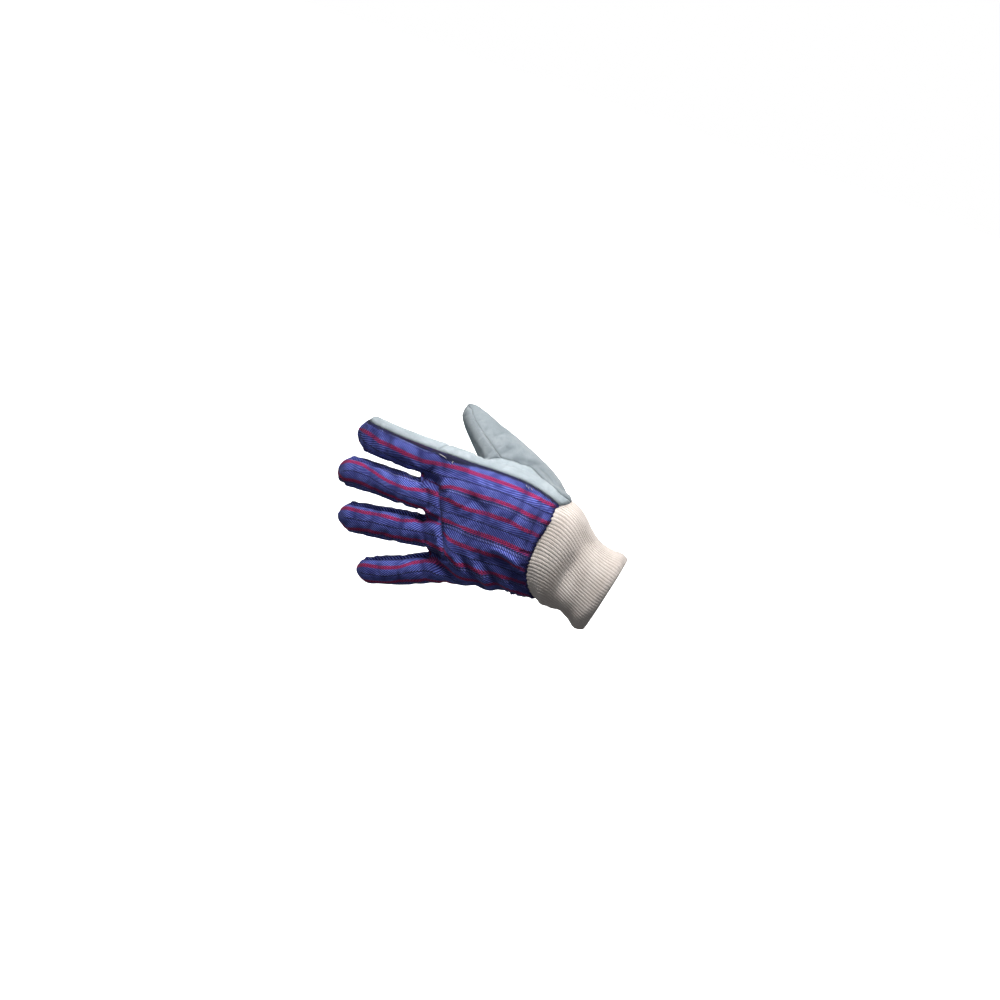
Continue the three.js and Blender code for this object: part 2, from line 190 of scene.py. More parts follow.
class Limb:
    """A tube of superellipse sections along a smooth line: a finger, the thumb, palm or wrist."""

    def __init__(self, rows, squareness=2.7, across=None, count=81):
        t = np.linspace(0, len(rows) - 1, count)
        table = spline(rows, t)
        self.centre, self.width, self.depth = table[:, :3], table[:, 3], table[:, 4]
        self.squareness = squareness
        along = unit(spline(rows, t + 0.05)[:, :3] - spline(rows, t - 0.05)[:, :3])
        front = np.array([0.0, 1.0, 0.0])
        self.wrap = table[:, 6] if table.shape[1] > 5 else np.ones(count)
        if table.shape[1] > 5:
            lean = np.radians(table[:, 5])
            self.along = np.stack([-np.cos(lean), 0 * lean, -np.sin(lean)], 1)
            self.across = np.stack([-np.sin(lean), 0 * lean, np.cos(lean)], 1)
            self.front = np.tile(front, (count, 1))
        elif across is not None:
            self.along = along
            self.across = unit(across - along * (along @ across)[:, None])
            self.front = np.cross(self.across, along)
        else:
            self.along = along
            self.front = unit(front - along * along[:, 1:2])
            self.across = np.cross(self.front, along)
        self.run = lengths_along(self.centre)
        self.length = self.run[-1]

    def at(self, column, run):
        if column.ndim == 1:
            return np.interp(run, self.run, column)
        return np.stack([np.interp(run, self.run, c) for c in column.T], -1)

    def surface(self, run, angle, inset=0.0, share=1.0):
        """Points of the skin; run and angle are arrays of one shape."""
        power = 2 / self.squareness
        c, s = np.cos(angle), np.sin(angle)
        w = (self.at(self.width, run) - inset) * share * np.sign(c) * np.abs(c) ** power
        d = (self.at(self.depth, run) - inset) * share * np.sign(s) * np.abs(s) ** power
        end = np.maximum(run - self.length, 0)[..., None]
        return (
            self.at(self.centre, run)
            + self.at(self.along, run) * end
            + self.at(self.across, run) * w[..., None]
            + self.at(self.front, run) * d[..., None]
        )

    def local(self, points):
        """Run, across, front and the two half sizes of each point, in this limb's sections."""
        ahead = points @ self.along.T - (self.centre * self.along).sum(1)
        k = np.clip((ahead > 0).sum(1) - 1, 0, len(self.run) - 2)
        row = np.arange(len(points))
        a, b = ahead[row, k], ahead[row, k + 1]
        f = np.clip(a / np.where(np.abs(a - b) < 1e-9, 1, a - b), 0, 1)
        run = self.run[k] + f * (self.run[k + 1] - self.run[k])
        run = run + np.maximum(ahead[:, -1], 0) + np.minimum(ahead[:, 0], 0)
        inside = np.clip(run, 0, self.length)
        offset = points - self.at(self.centre, inside)
        w = (offset * self.at(self.across, inside)).sum(1)
        d = (offset * self.at(self.front, inside)).sum(1)
        return (
            run,
            w,
            d,
            self.at(self.width, inside),
            self.at(self.depth, inside),
            self.at(self.wrap, inside),
        )


tables = {"index": INDEX, "middle": MIDDLE, "ring": RING, "little": LITTLE}
fingers = {name: Limb(table, squareness=2.15) for name, table in tables.items()}
thumb = Limb(THUMB, across=np.array(THUMB_ACROSS))
palm = Limb(PALM, squareness=2.4)
wrist = Limb(CUFF, squareness=2.4)
# How far back each tip starts to narrow, and how far it leans sideways
TIPS = {"index": (10, -2.5), "middle": (10, -3.5), "ring": (10, -1), "little": (8, 0)}
for name, (tip, lean) in TIPS.items():
    fingers[name].tip, fingers[name].tip_lean = tip, lean
thumb.tip, thumb.tip_lean = 5, 0
thumb.lead = np.interp(70, -thumb.centre[:, 0], thumb.run)


# Where the knit is sewn on: z and x
WRIST_SEAM = [(-36, -52), (-27, -55.5), (-17.6, -61.8), (-7.9, -66), (1.7, -68.2)]
WRIST_SEAM += [(18.2, -68.6), (29.7, -67.5), (40, -65.1), (50, -63), (57.1, -62.6)]
WRIST_SEAM += [(62.8, -61.8), (66.5, -57.8), (70, -53.5), (76, -50)]
seam_line = spline(WRIST_SEAM, np.linspace(0, len(WRIST_SEAM) - 1, 200))


def wrist_seam(y, z):
    """Where along the glove the knit is sewn on; on the palm it keeps clear of the thumb."""
    seam = np.interp(z, *seam_line.T)
    return seam + (np.minimum(seam, -57.5) - seam) * smooth(4, 24, y) * smooth(45, 55, z)


def creased(points, front, across):
    """The part's soft folds and puckered edge, on points of the palm or wrist."""
    x, z = points[..., 0].copy(), points[..., 2].copy()
    for side, fx, fz, turn, length, width, rise in SHELL_FOLDS:
        c, s = math.cos(math.radians(turn)), math.sin(math.radians(turn))
        along = ((x - fx) * c + (z - fz) * s) / length
        beside = ((z - fz) * c - (x - fx) * s) / width
        on = np.where(side * front > 0, front, 0)
        points[..., 1] += on * rise * np.exp(-(along**2) - beside**2)
    fade = np.sin(np.pi * np.clip((x + 128) / 72, 0, 1))
    wave = np.minimum(across, 0) ** 3 * 1.5 * fade * np.sin(2 * np.pi * (x + 128) / 24)
    points[..., 2] += wave
    return points


# Meshes as arrays
def ring_walls(rings):
    """Triangles between neighbouring rings, which are rows of vertex numbers."""
    a, b = rings, np.roll(rings, -1, axis=1)
    halves = [(a[:-1], b[:-1], b[1:]), (a[:-1], b[1:], a[1:])]
    return [np.stack(half, -1).reshape(-1, 3) for half in halves]


def skin(limb, rounded):
    """A closed loft of a limb, as points and triangles, for the union of the hand form."""
    sides = 96
    angle = 2 * np.pi * np.arange(sides) / sides
    if rounded:
        body = np.linspace(0, limb.length - limb.tip, 60)[:-1]
        back = np.linspace(1, 0, 14) ** 1.5
        run = np.concatenate([body, limb.length + 1.8 - back * (limb.tip + 1.8)])
        share = np.concatenate([np.ones(59), np.maximum(back, 0.05) ** 0.45])
    else:
        run = np.linspace(0, limb.length, 90)
        share = np.ones(90)
    runs, angles = np.meshgrid(run, angle, indexing="ij")
    points = limb.surface(runs, angles, share=share[:, None])
    if rounded:
        points += limb.at(limb.across, runs) * (limb.tip_lean * (1 - share))[:, None, None]
    else:
        points = creased(points, np.sin(angles), np.cos(angles))
    rings = np.arange(runs.size).reshape(runs.shape)
    points = points.reshape(-1, 3)
    ends = []
    for ring, flip in ((rings[0], True), (rings[-1], False)):
        centre = len(points)
        points = np.vstack([points, points[ring].mean(0)])
        fan = np.stack([ring, np.roll(ring, -1), np.full(sides, centre)], -1)
        ends.append(fan[:, ::-1] if flip else fan)
    faces = np.concatenate([*ring_walls(rings), *ends])
    corner = points[faces]
    volume = np.einsum("ij,ij->i", corner[:, 0], np.cross(corner[:, 1], corner[:, 2])).sum()
    return points, faces if volume > 0 else faces[:, ::-1]


def mesh_of(name, points, faces):
    """A Blender mesh of equal-sided faces given as an array."""
    mesh = bpy.data.meshes.new(name)
    sides = faces.shape[1]
    mesh.vertices.add(len(points))
    mesh.vertices.foreach_set("co", np.asarray(points, np.float32).ravel())
    mesh.loops.add(faces.size)
    mesh.loops.foreach_set("vertex_index", faces.astype(np.int32).ravel())
    mesh.polygons.add(len(faces))
    mesh.polygons.foreach_set("loop_start", np.arange(len(faces), dtype=np.int32) * sides)
    mesh.update(calc_edges=True)
    return mesh


def joined(pieces):
    """Several pieces, each points and faces, as one."""
    starts = np.cumsum([0, *(len(points) for points, _ in pieces[:-1])])
    faces = [faces + start for (_, faces), start in zip(pieces, starts)]
    return np.concatenate([points for points, _ in pieces]), np.concatenate(faces)


def object_of(name, points, faces):
    made = bpy.data.objects.new(name, mesh_of(name, points, faces))
    bpy.context.scene.collection.objects.link(made)
    return made


def evaluated(made):
    """Points and triangles of an object after its modifiers, which is then removed."""
    done = made.evaluated_get(bpy.context.evaluated_depsgraph_get())
    mesh = done.to_mesh()
    mesh.calc_loop_triangles()
    points = np.zeros(len(mesh.vertices) * 3, np.float32)
    mesh.vertices.foreach_get("co", points)
    faces = np.zeros(len(mesh.loop_triangles) * 3, np.int32)
    mesh.loop_triangles.foreach_get("vertices", faces)
    done.to_mesh_clear()
    bpy.data.objects.remove(made)
    return points.reshape(-1, 3).astype(float), faces.reshape(-1, 3).astype(np.int64)


def sides_of(faces):
    """The three directed edges of every triangle."""
    return np.concatenate([faces[:, [0, 1]], faces[:, [1, 2]], faces[:, [2, 0]]])


def edges_of(faces):
    return np.unique(np.sort(sides_of(faces), 1), axis=0)


def summed(values, where, count):
    return np.stack([np.bincount(where, v, count) for v in values.T], 1)


def relaxed(points, faces, weights):
    """Points moved towards the mean of their neighbours, once for each weight."""
    a, b = edges_of(faces).T
    n = len(points)
    degree = np.bincount(a, minlength=n) + np.bincount(b, minlength=n)
    for weight in weights:
        mean = (summed(points[b], a, n) + summed(points[a], b, n)) / degree[:, None]
        points = points + (mean - points) * weight
    return points


def normals_of(points, faces):
    corner = points[faces]
    face = np.cross(corner[:, 1] - corner[:, 0], corner[:, 2] - corner[:, 0])
    return unit(sum(summed(face, faces[:, k], len(points)) for k in range(3)))


VOXEL = 1.1
# Webs between the fingers, blended more than the rest: x, z and reach
WEBS = [(-168, 43, 7), (-163, 10, 7), (-148, -20, 8), (-122, 74, 18)]


def hand_form():
    """One smooth closed form through palm, fingers and thumb."""
    limbs = [thumb, *fingers.values()]
    form = object_of("form", *joined([skin(palm, False), *(skin(limb, True) for limb in limbs)]))
    remesh = form.modifiers.new("remesh", "REMESH")
    remesh.mode, remesh.voxel_size = "VOXEL", VOXEL
    points, faces = evaluated(form)
    points = relaxed(points, faces, [0.6, -0.62] * 8)
    web = np.zeros(len(points))
    for x, z, reach in WEBS:
        far = (points[:, 0] - x) ** 2 + (points[:, 2] - z) ** 2
        web = np.maximum(web, np.exp(-far / reach**2))
    for _ in range(6):
        points = relaxed(points, faces, [web[:, None] * 0.8])
    return points, faces


# How far round each finger the back panels reach, in half widths
BACK_SHARES = {"index": (-0.84, 0.72), "middle": (-0.86, 0.92)}
BACK_SHARES |= {"ring": (-0.86, 0.9), "little": (-9, 0.9)}
# Three points of the plane in which the thumb is sewn on, and two of the knuckle seam as x and z
THUMB_PLANE = [(-126, -4, 82), (-60, -3, 75), (-90, 25, 48)]
KNUCKLE_SEAM = [(-166, 42), (-140, -19)]


# Seams: one value per vertex for each region, zero on its seam and positive inside
def seam_values(points):
    x, y, z = points.T
    run, w, d, width, _, wrap = palm.local(points)
    reach = palm.length - 2.2 - run
    back = np.minimum(np.minimum(wrap * width - w, -d), reach)
    back = np.maximum(back, np.minimum(-w - 0.93 * width, reach))
    leather = np.minimum(np.minimum(w + 0.93 * width, d), reach)
    leather = np.maximum(leather, np.minimum(w - wrap * width, reach))
    band = wrap * width - w
    for name, (low, high) in BACK_SHARES.items():
        f_run, w, d, width, _, _ = fingers[name].local(points)
        inside = np.minimum(np.minimum(w - low * width, high * width - w), f_run)
        back = np.maximum(back, np.minimum(inside, -d))
        if name == "little":
            back = np.maximum(back, np.minimum(-w - 0.8 * width, f_run))
            inside = np.minimum(np.minimum(w + 0.8 * width, 0.8 * width - w), f_run)
        leather = np.maximum(leather, np.minimum(inside, d))
        if name == "index":
            leather = np.maximum(leather, np.minimum(w - high * width, f_run))
            blend = smooth(-178, -160, x)
            band = band * blend + (high * width - w) * (1 - blend)
    seam = np.array(THUMB_PLANE, float)
    along = unit(seam[1] - seam[0])
    up = unit(np.cross(along, seam[2] - seam[0]))
    up = up if up[2] > 0 else -up
    offset = points - seam[0]
    # the seam turns round the thumb's crotch in a wide curve, and on the back it runs higher
    side, end = offset @ up, offset @ along + 6
    heel = np.minimum(side, end) - np.maximum(44 - np.abs(side - end), 0) ** 2 / 176
    raised = np.interp(x, *np.array(THUMB_SEAM).T) * smooth(24, 15, y)
    t_run, w, d, width, depth, _ = thumb.local(points)
    start = 56 + thumb.lead + 9 * smooth(0.2, 1, w / width)
    tube = np.minimum(np.minimum(width + 6 - np.abs(w), depth + 6 - np.abs(d)), t_run - start)
    joined = np.maximum(heel, tube) + np.maximum(12 - np.abs(heel - tube), 0) ** 2 / 48
    root = -186 + (y + 45) / 90 * 34 - 14 * (86 - z) / 44
    knuckle = np.array(KNUCKLE_SEAM, float)
    slope = unit(knuckle[1] - knuckle[0])
    beyond = -((x - knuckle[0, 0]) * -slope[1] + (z - knuckle[0, 1]) * slope[0])
    beyond = beyond * np.sign(beyond[np.argmin(x)])
    low, high = z + 41 - (x + 250) * 21.5 / 92, z + 19.5 - (x + 158) * 0.5 / 18
    below_ring = np.maximum(low * 0.97, high)
    return {
        "body": wrist_seam(y, z) - x,
        "thumb": joined - raised,
        "thumb_back": np.minimum(-d, 0.52 * width - w),
        "back": back,
        "leather": leather,
        "knuckle": np.minimum(np.minimum(beyond, 42 - z), below_ring),
        "index": np.minimum(root - x, z - 42),
        "band": band,
    }


class Shell:
    """Triangles whose vertices carry named columns, cut along the zero lines of a column."""

    def __init__(self, points, faces, columns):
        self.names = ["x", "y", "z", *columns]
        self.table = np.column_stack([points, *columns.values()])
        self.faces = faces
        self.label = np.full(len(faces), "form", object)
        self.locked = np.zeros(len(points), bool)

    def column(self, name):
        return self.table[:, self.names.index(name)]

    def split(self, name, where, positive, negative):
        """Cuts the chosen triangles and labels the two sides."""
        value = self.column(name).copy()
        faces = self.faces[where]
        a, b = edges_of(faces).T
        t = value[a] / np.where(value[a] == value[b], 1, value[a] - value[b])
        crossing = value[a] * value[b] < 0
        a, b, t = a[crossing], b[crossing], t[crossing]
        vertex = np.concatenate([a, b])
        other = np.concatenate([b, a])
        share = np.concatenate([t, 1 - t])
        near = (share < 0.3) & ~self.locked[vertex]
        close = (share < 0.08) & self.locked[vertex]
        value[vertex[close]] = 0
        vertex, other, share = vertex[near], other[near], share[near]
        order = np.argsort(share)[::-1]
        vertex, other, share = vertex[order], other[order], share[order]
        before = self.table.copy()
        self.table[vertex] = before[vertex] + (before[other] - before[vertex]) * share[:, None]
        value[vertex] = 0
        pairs = edges_of(faces)
        a, b = pairs.T
        cut = value[a] * value[b] < 0
        a, b = a[cut], b[cut]
        t = value[a] / (value[a] - value[b])
        start = len(self.table)
        added = self.table[a] + (self.table[b] - self.table[a]) * t[:, None]
        key = dict(zip(zip(a.tolist(), b.tolist()), range(start, start + len(a))))
        self.table = np.vstack([self.table, added])
        value = np.concatenate([value, np.zeros(len(a))])
        self.locked = np.concatenate([self.locked, np.ones(len(a), bool)])
        sign = np.sign(value)[faces]
        mixed = (sign.max(1) > 0) & (sign.min(1) < 0)
        kept = faces[~mixed]
        made = []
        for face in faces[mixed].tolist():
            side = [value[i] for i in face]
            for turn in range(3):
                i, j, k = (face[(turn + s) % 3] for s in range(3))
                p, q, r = (side[(turn + s) % 3] for s in range(3))
                if p * q < 0 and p * r < 0:
                    m, n = key[min(i, j), max(i, j)], key[min(i, k), max(i, k)]
                    made += [(i, m, n), (m, j, k), (m, k, n)]
                    break
                if p == 0 and q * r < 0:
                    m = key[min(j, k), max(j, k)]
                    made += [(i, j, m), (i, m, k)]
                    break
        faces = np.vstack([kept, np.array(made, int).reshape(-1, 3)])
        side = value[faces].sum(1) > 0
        self.locked[value == 0] = True
        self.faces = np.vstack([self.faces[~where], faces])
        self.label = np.concatenate([self.label[~where], np.where(side, positive, negative)])

    def middle(self, name):
        return self.column(name)[self.faces].mean(1)


FORKS_END = -118


def cut_panels(points, faces):
    """The hand form cut along all its seams, with a label for each triangle's panel."""
    columns = seam_values(points)
    for name, limb in fingers.items():
        columns["beside_" + name] = limb.local(points)[1]
    shell = Shell(points, faces, columns)
    shell.split("body", shell.label == "form", "hand", "cut off")
    keep = shell.label == "hand"
    shell.faces, shell.label = shell.faces[keep], shell.label[keep]
    shell.split("thumb", shell.label == "hand", "thumb", "hand")
    shell.split("thumb_back", shell.label == "thumb", "leather_thumb_back", "leather_thumb_front")
    shell.split("back", shell.label == "hand", "back_panel", "front")
    shell.split("leather", shell.label == "front", "leather_palm", "strips")
    strips = (shell.label == "strips") & (shell.middle("x") < FORKS_END)
    sides = {n: shell.middle("beside_" + n) for n in fingers}
    for high, low in [("index", "middle"), ("middle", "ring"), ("ring", "little")]:
        shell.label[strips & (sides[high] < 0) & (sides[low] > 0)] = f"strip_{high}_{low}"
    shell.label[shell.label == "strips"] = "leather_palm"
    shell.split("knuckle", shell.label == "back_panel", "knuckle_panel", "back_panel")
    shell.split("index", shell.label == "leather_palm", "leather_index", "leather_palm")
    return shell


shell = cut_panels(*hand_form())


def used_only(points, faces, *extra):
    keep, index = np.unique(faces, return_inverse=True)
    return (points[keep], index.reshape(faces.shape), *(e[keep] for e in extra))


def border_edges(faces):
    """Directed edges that only one triangle has."""
    pairs = sides_of(faces)
    ordered = np.sort(pairs, 1)
    _, index, count = np.unique(ordered, axis=0, return_inverse=True, return_counts=True)
    return pairs[count[index.ravel()] == 1]


def thick(points, faces, normals, thickness):
    """A closed panel: its outer face, an inner one and the rim between them."""
    n = len(points)
    rim = border_edges(faces)
    inner = points - normals * thickness
    a, b = rim.T
    walls = np.concatenate([np.stack([b, a, a + n], 1), np.stack([b, a + n, b + n], 1)])
    return np.vstack([points, inner]), np.vstack([faces, faces[:, ::-1] + n, walls])


def finished(made, slot, *nodes):
    """Scales a piece to metres, smooths its shading and gives it its place in the frame."""
    made.data.transform(Matrix.Scale(MM, 4))
    made.data.shade_smooth()
    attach(made, "root")
    if nodes:
        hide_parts(*nodes)
    return made


def attribute(mesh, name, values):
    mesh.attributes.new(name, "FLOAT", "POINT").data.foreach_set("value", values.astype(np.float32))


# Folds drawn from the photograph: height, width, power of the profile, side, and the line's
# points as x, z on the back (side -1) or palm (side 1), or x, y, z anywhere (side 0)
FOLDS = [
    # across the knuckles
    (-1.1, 3.2, 1.6, -1, [(-170, 42), (-161, 38), (-157, 26), (-154, 14)]),
    (-1.2, 3.8, 1.7, -1, [
        (-156, 14), (-151, 6), (-146, -1), (-141.6, -9.7), (-135, -18.7), (-126, -29),
    ]),
    (1.8, 3.8, 2.0, -1, [
        (-163, 16), (-157.2, 9.3), (-154.5, 2.7), (-149.7, -5.9), (-144.9, -11), (-137.9, -16.3),
        (-128, -25), (-118, -34),
    ]),
    (1.5, 3.2, 2.0, -1, [
        (-148, 6), (-142.4, -3.1), (-137.4, -9.7), (-131.8, -13.8), (-125, -20.7), (-116, -29),
    ]),
    (1.3, 5.0, 2.0, -1, [(-157, 41), (-149, 38), (-140, 32)]),
    (-1.3, 4.0, 1.6, -1, [(-137, 46), (-128, 41), (-116, 38)]),
    # the cloth sinks between the finger roots
    (-3.8, 4.6, 1.9, -1, [(-189, 44), (-181, 45), (-173, 45), (-165, 43)]),
    (-3.2, 4.4, 1.8, -1, [(-178, 9.5), (-170, 9.5), (-161, 12), (-154, 11)]),
    (-2.8, 4.2, 1.8, -1, [(-162, -22), (-153, -20), (-145, -14)]),
    # waves across the back
    (-0.9, 3.4, 1.6, -1, [
        (-121, 66), (-117, 50), (-117.3, 37.5), (-118, 24), (-119.4, 11.7), (-124, 0),
    ]),
    (0.7, 6.0, 2.0, -1, [(-134, 62), (-133, 45), (-134, 25)]),
    (0.8, 5.5, 2.0, -1, [(-106, 66), (-106, 45), (-108, 22)]),
    (-1.1, 3.2, 1.6, -1, [(-95, 75), (-92.6, 68), (-91.5, 58), (-92.5, 47), (-96, 37), (-97, 28)]),
    (0.9, 4.5, 2.0, -1, [(-83, 70), (-82.5, 55), (-83, 40), (-84, 27)]),
    (-1.0, 3.0, 1.6, -1, [(-72, 58), (-75, 45), (-76.5, 30), (-77, 14)]),
    (1.6, 2.9, 2.0, -1, [
        (-106, 8.5), (-98, 8.8), (-90.5, 7.8), (-83.3, 5.8), (-78.7, 2.2), (-74.6, -0.5),
    ]),
    (-1.3, 3.8, 1.6, -1, [(-104, 1), (-95, 2.5), (-87, 0), (-80, -5), (-75, -10)]),
    # slanting down to the little-finger edge
    (-1.3, 3.4, 1.6, -1, [(-130, -6), (-122, -15), (-113, -24), (-103, -32), (-96, -37)]),
    (1.1, 3.4, 2.0, -1, [(-124, -4), (-115, -13), (-104, -22), (-93, -31)]),
    (-1.1, 3.6, 1.6, -1, [(-108, -8), (-99, -16), (-89, -25), (-80, -33)]),
    (1.0, 3.6, 2.0, -1, [(-98, -7), (-88, -15), (-77, -22), (-68, -28)]),
    (-0.9, 2.8, 1.6, -1, [(-84, -12), (-77, -18), (-69, -24)]),
    (-1.6, 3.0, 1.4, -1, [(-146, -24), (-137, -29), (-126, -34)]),
    # index finger
    (-0.9, 3.2, 1.6, -1, [(-192, 71), (-190, 62), (-189, 50)]),
    (0.6, 5.0, 2.0, -1, [(-204, 70), (-203, 52)]),
    (-0.8, 2.8, 1.6, -1, [(-221, 72), (-219, 60), (-221, 49)]),
    (-0.6, 2.4, 1.6, -1, [(-238, 70), (-236, 60), (-233, 52)]),
    (-1.0, 3.5, 1.6, -1, [(-172, 71), (-168, 62), (-166, 52)]),
    # middle finger
    (-1.1, 3.0, 1.5, -1, [(-176, 38), (-171, 28), (-168, 16)]),
    (-0.8, 3.0, 1.6, -1, [(-202, 37), (-201, 26), (-204, 14)]),
    (0.6, 5.0, 2.0, -1, [(-187, 36), (-187, 16)]),
    (-0.7, 2.6, 1.6, -1, [(-229, 36), (-227, 25), (-229, 14)]),
    (-0.5, 2.2, 1.6, -1, [(-244, 32), (-241, 20)]),
    # ring finger
    (-1.0, 3.0, 1.5, -1, [(-172, 7), (-166, -3), (-160, -15)]),
    (-0.9, 2.8, 1.6, -1, [(-190, 5), (-187, -6), (-186, -18)]),
    (0.6, 4.5, 2.0, -1, [(-200, 2), (-197, -16)]),
    (-0.7, 2.6, 1.6, -1, [(-216, 1), (-213, -11), (-214, -23)]),
    (-0.6, 2.2, 1.6, -1, [(-231, -6), (-229, -18)]),
    # little finger
    (-1.1, 2.8, 1.5, -1, [(-163, -27), (-157, -36), (-153, -45)]),
    (-0.8, 2.6, 1.6, -1, [(-180, -39), (-176, -49), (-174, -58)]),
    (0.6, 4.0, 2.0, -1, [(-169, -34), (-165, -52)]),
    (-0.6, 2.4, 1.6, -1, [(-197, -47), (-193, -58)]),
    # creases of the leather palm
    (-2.0, 2.6, 1.4, 1, [(-160, 62), (-153, 44), (-149, 24), (-143, 4), (-134, -18)]),
    (1.2, 5.0, 2.0, 1, [(-168, 52), (-163, 40), (-160, 22)]),
    (-1.5, 2.4, 1.4, 1, [(-132, 58), (-126, 38), (-122, 16), (-116, -8), (-110, -28)]),
    (-1.9, 3.0, 1.4, 1, [(-134, 62), (-122, 50), (-108, 40), (-92, 34), (-76, 32)]),
    (-1.1, 2.4, 1.5, 1, [(-104, 22), (-94, 14), (-84, 2), (-76, -12)]),
    (1.1, 5.0, 2.0, 1, [(-110, 14), (-98, 2), (-88, -12)]),
    (-1.0, 2.2, 1.5, 1, [(-92, -12), (-84, -22), (-74, -30)]),
    (-1.2, 2.6, 1.5, 1, [(-196, 74), (-193, 60), (-195, 47)]),
    (-1.0, 2.4, 1.5, 1, [(-222, 73), (-220, 60), (-222, 47)]),
    (-1.2, 2.6, 1.5, 1, [(-204, 38), (-201, 25), (-204, 12)]),
    (-1.0, 2.4, 1.5, 1, [(-232, 35), (-229, 22), (-231, 10)]),
    (-1.2, 2.6, 1.5, 1, [(-192, 6), (-188, -6), (-188, -20)]),
    (-1.0, 2.4, 1.5, 1, [(-218, 0), (-214, -12), (-216, -26)]),
    (-1.1, 2.4, 1.5, 1, [(-172, -32), (-167, -44), (-165, -56)]),
    (-0.9, 2.2, 1.5, 1, [(-195, -46), (-191, -58), (-190, -66)]),
    # thumb: a welt along its seam, the hollow above its root and the crease behind it
    (1.1, 1.5, 2.0, 0, [
        (-169, 35, 106), (-167.8, 32.7, 103.9), (-161.9, 28.1, 99.1), (-153.4, 23, 93.9),
        (-143.7, 16.9, 87.9), (-132.8, 11.9, 82.2), (-124, 8.4, 78.8),
    ]),
    (-1.6, 3.6, 1.8, 0, [
        (-120, 12, 83), (-113, 12.5, 83), (-106, 13.5, 84), (-100.5, 15, 84.5), (-94, 18, 84.5),
        (-88, 22, 82),
    ]),
    (-1.2, 1.7, 1.5, 0, [
        (-96, 14.5, 83), (-88, 14.7, 81), (-81.6, 14, 78.9), (-74.2, 11, 76), (-66, 4, 74.5),
        (-60, 0, 72),
    ]),
    (-0.8, 2.0, 1.6, 0, [(-126.7, 19.1, 88.8), (-121.6, 19.5, 87.5), (-118.8, 23.4, 90.8)]),
    (-0.7, 2.0, 1.6, 0, [(-140.5, 20.5, 90.5), (-136, 24.7, 94.3), (-131.2, 29, 95.9)]),
    (0.9, 4.0, 2.0, 0, [(-131, 20, 91), (-127, 24, 94), (-122, 28, 95)]),
    (-1.3, 2.6, 1.5, 0, [(-118, 22, 92), (-126, 14, 82), (-132, 16, 72), (-134, 26, 64)]),
    (-1.0, 2.4, 1.5, 0, [(-146, 30, 104), (-148, 24, 94), (-150, 30, 82)]),
    (-1.2, 2.6, 1.5, 0, [(-92, 30, 74), (-104, 34, 78), (-118, 38, 84)]),
    (-1.1, 2.6, 1.5, 0, [(-76, 18, 66), (-84, 26, 62), (-92, 32, 54), (-96, 33, 44)]),
]


def lifted(line, side):
    """A drawn line as a smooth path in space, laid on the given side of the form."""
    path = spline(line, np.linspace(0, len(line) - 1, 8 * (len(line) - 1) + 1))
    if side == 0:
        return path
    ground = points[(normals[:, 1] * side > 0.05)]
    out = []
    for x, z in path:
        near = (ground[:, 0] - x) ** 2 + (ground[:, 2] - z) ** 2
        out.append((x, ground[near.argmin(), 1], z))
    return np.array(out)


def from_path(where, path):
    """Distance of points from a path, and the nearest place's share along it."""
    best, share = np.full(len(where), 1e9), np.zeros(len(where))
    steps = len(path) - 1
    for k in range(steps):
        leg = path[k + 1] - path[k]
        t = np.clip((where - path[k]) @ leg / max(leg @ leg, 1e-9), 0, 1)
        far = np.linalg.norm(where - path[k] - t[:, None] * leg, axis=1)
        nearer = far < best
        best[nearer], share[nearer] = far[nearer], (k + t[nearer]) / steps
    return best, share


BACK_STRENGTH = 1.3


def folded():
    """Rise of every vertex from the drawn folds."""
    rise = np.zeros(len(points))
    for height, width, power, side, line in FOLDS:
        path = lifted(line, side)
        room = 4 * width
        close = ((points > path.min(0) - room) & (points < path.max(0) + room)).all(1)
        far, share = from_path(points[close], path)
        taper = 0.12 + 0.88 * smooth(0, 0.25, share) * smooth(0, 0.25, 1 - share)
        strength = height * (BACK_STRENGTH if side < 0 else 1)
        rise[close] += strength * taper * np.exp(-((far / width) ** power))
    return rise


def puckers(count, reach, height, width, length):
    """Short ridges and dips that run away from the seams, where the stitches gather the cloth."""
    rise = np.zeros(len(points))
    choice = np.flatnonzero((distance > 1.5) & (distance < 3.5))
    for k in dice.choice(choice, count, replace=False):
        away = unit(points[k] - seam_points[k])
        beside = np.cross(normals[k], away)
        close = np.flatnonzero(np.abs(points - points[k]).max(1) < reach)
        offset = points[close] - points[k] - away * length * 0.4
        size = width * dice.uniform(0.7, 1.4)
        a, b = offset @ away / length, offset @ beside / size
        c = offset @ normals[k] / 5
        way = height * dice.choice([-1.2, -1, 0.8])
        rise[close] += way * np.exp(-(a**2) - b**2 - c**2) * (1 - 1.3 * b**2 * (way > 0))
    return rise


def rumples(count, height):
    """Faint long wrinkles of soft cloth, at random places and mostly across each limb."""
    rise = np.zeros(len(points))
    for k in dice.choice(len(points), count, replace=False):
        turn = dice.normal(0, 0.4)
        tangent = unit(np.cross(normals[k], [1, 0, 0]))
        axis = unit(tangent * math.cos(turn) + np.cross(normals[k], tangent) * math.sin(turn))
        beside = np.cross(normals[k], axis)
        length, width = dice.uniform(5, 13), dice.uniform(2, 4)
        close = np.flatnonzero(np.abs(points - points[k]).max(1) < 2.5 * length)
        offset = points[close] - points[k]
        a, b, c = offset @ axis / length, offset @ beside / width, offset @ normals[k] / 6
        rise[close] += dice.uniform(-1, 0.7) * height * np.exp(-(a**2) - b**2 - c**2)
    return rise


def tree_of(places):
    tree = KDTree(len(places))
    for i, place in enumerate(places.tolist()):
        tree.insert(place, i)
    tree.balance()
    return tree


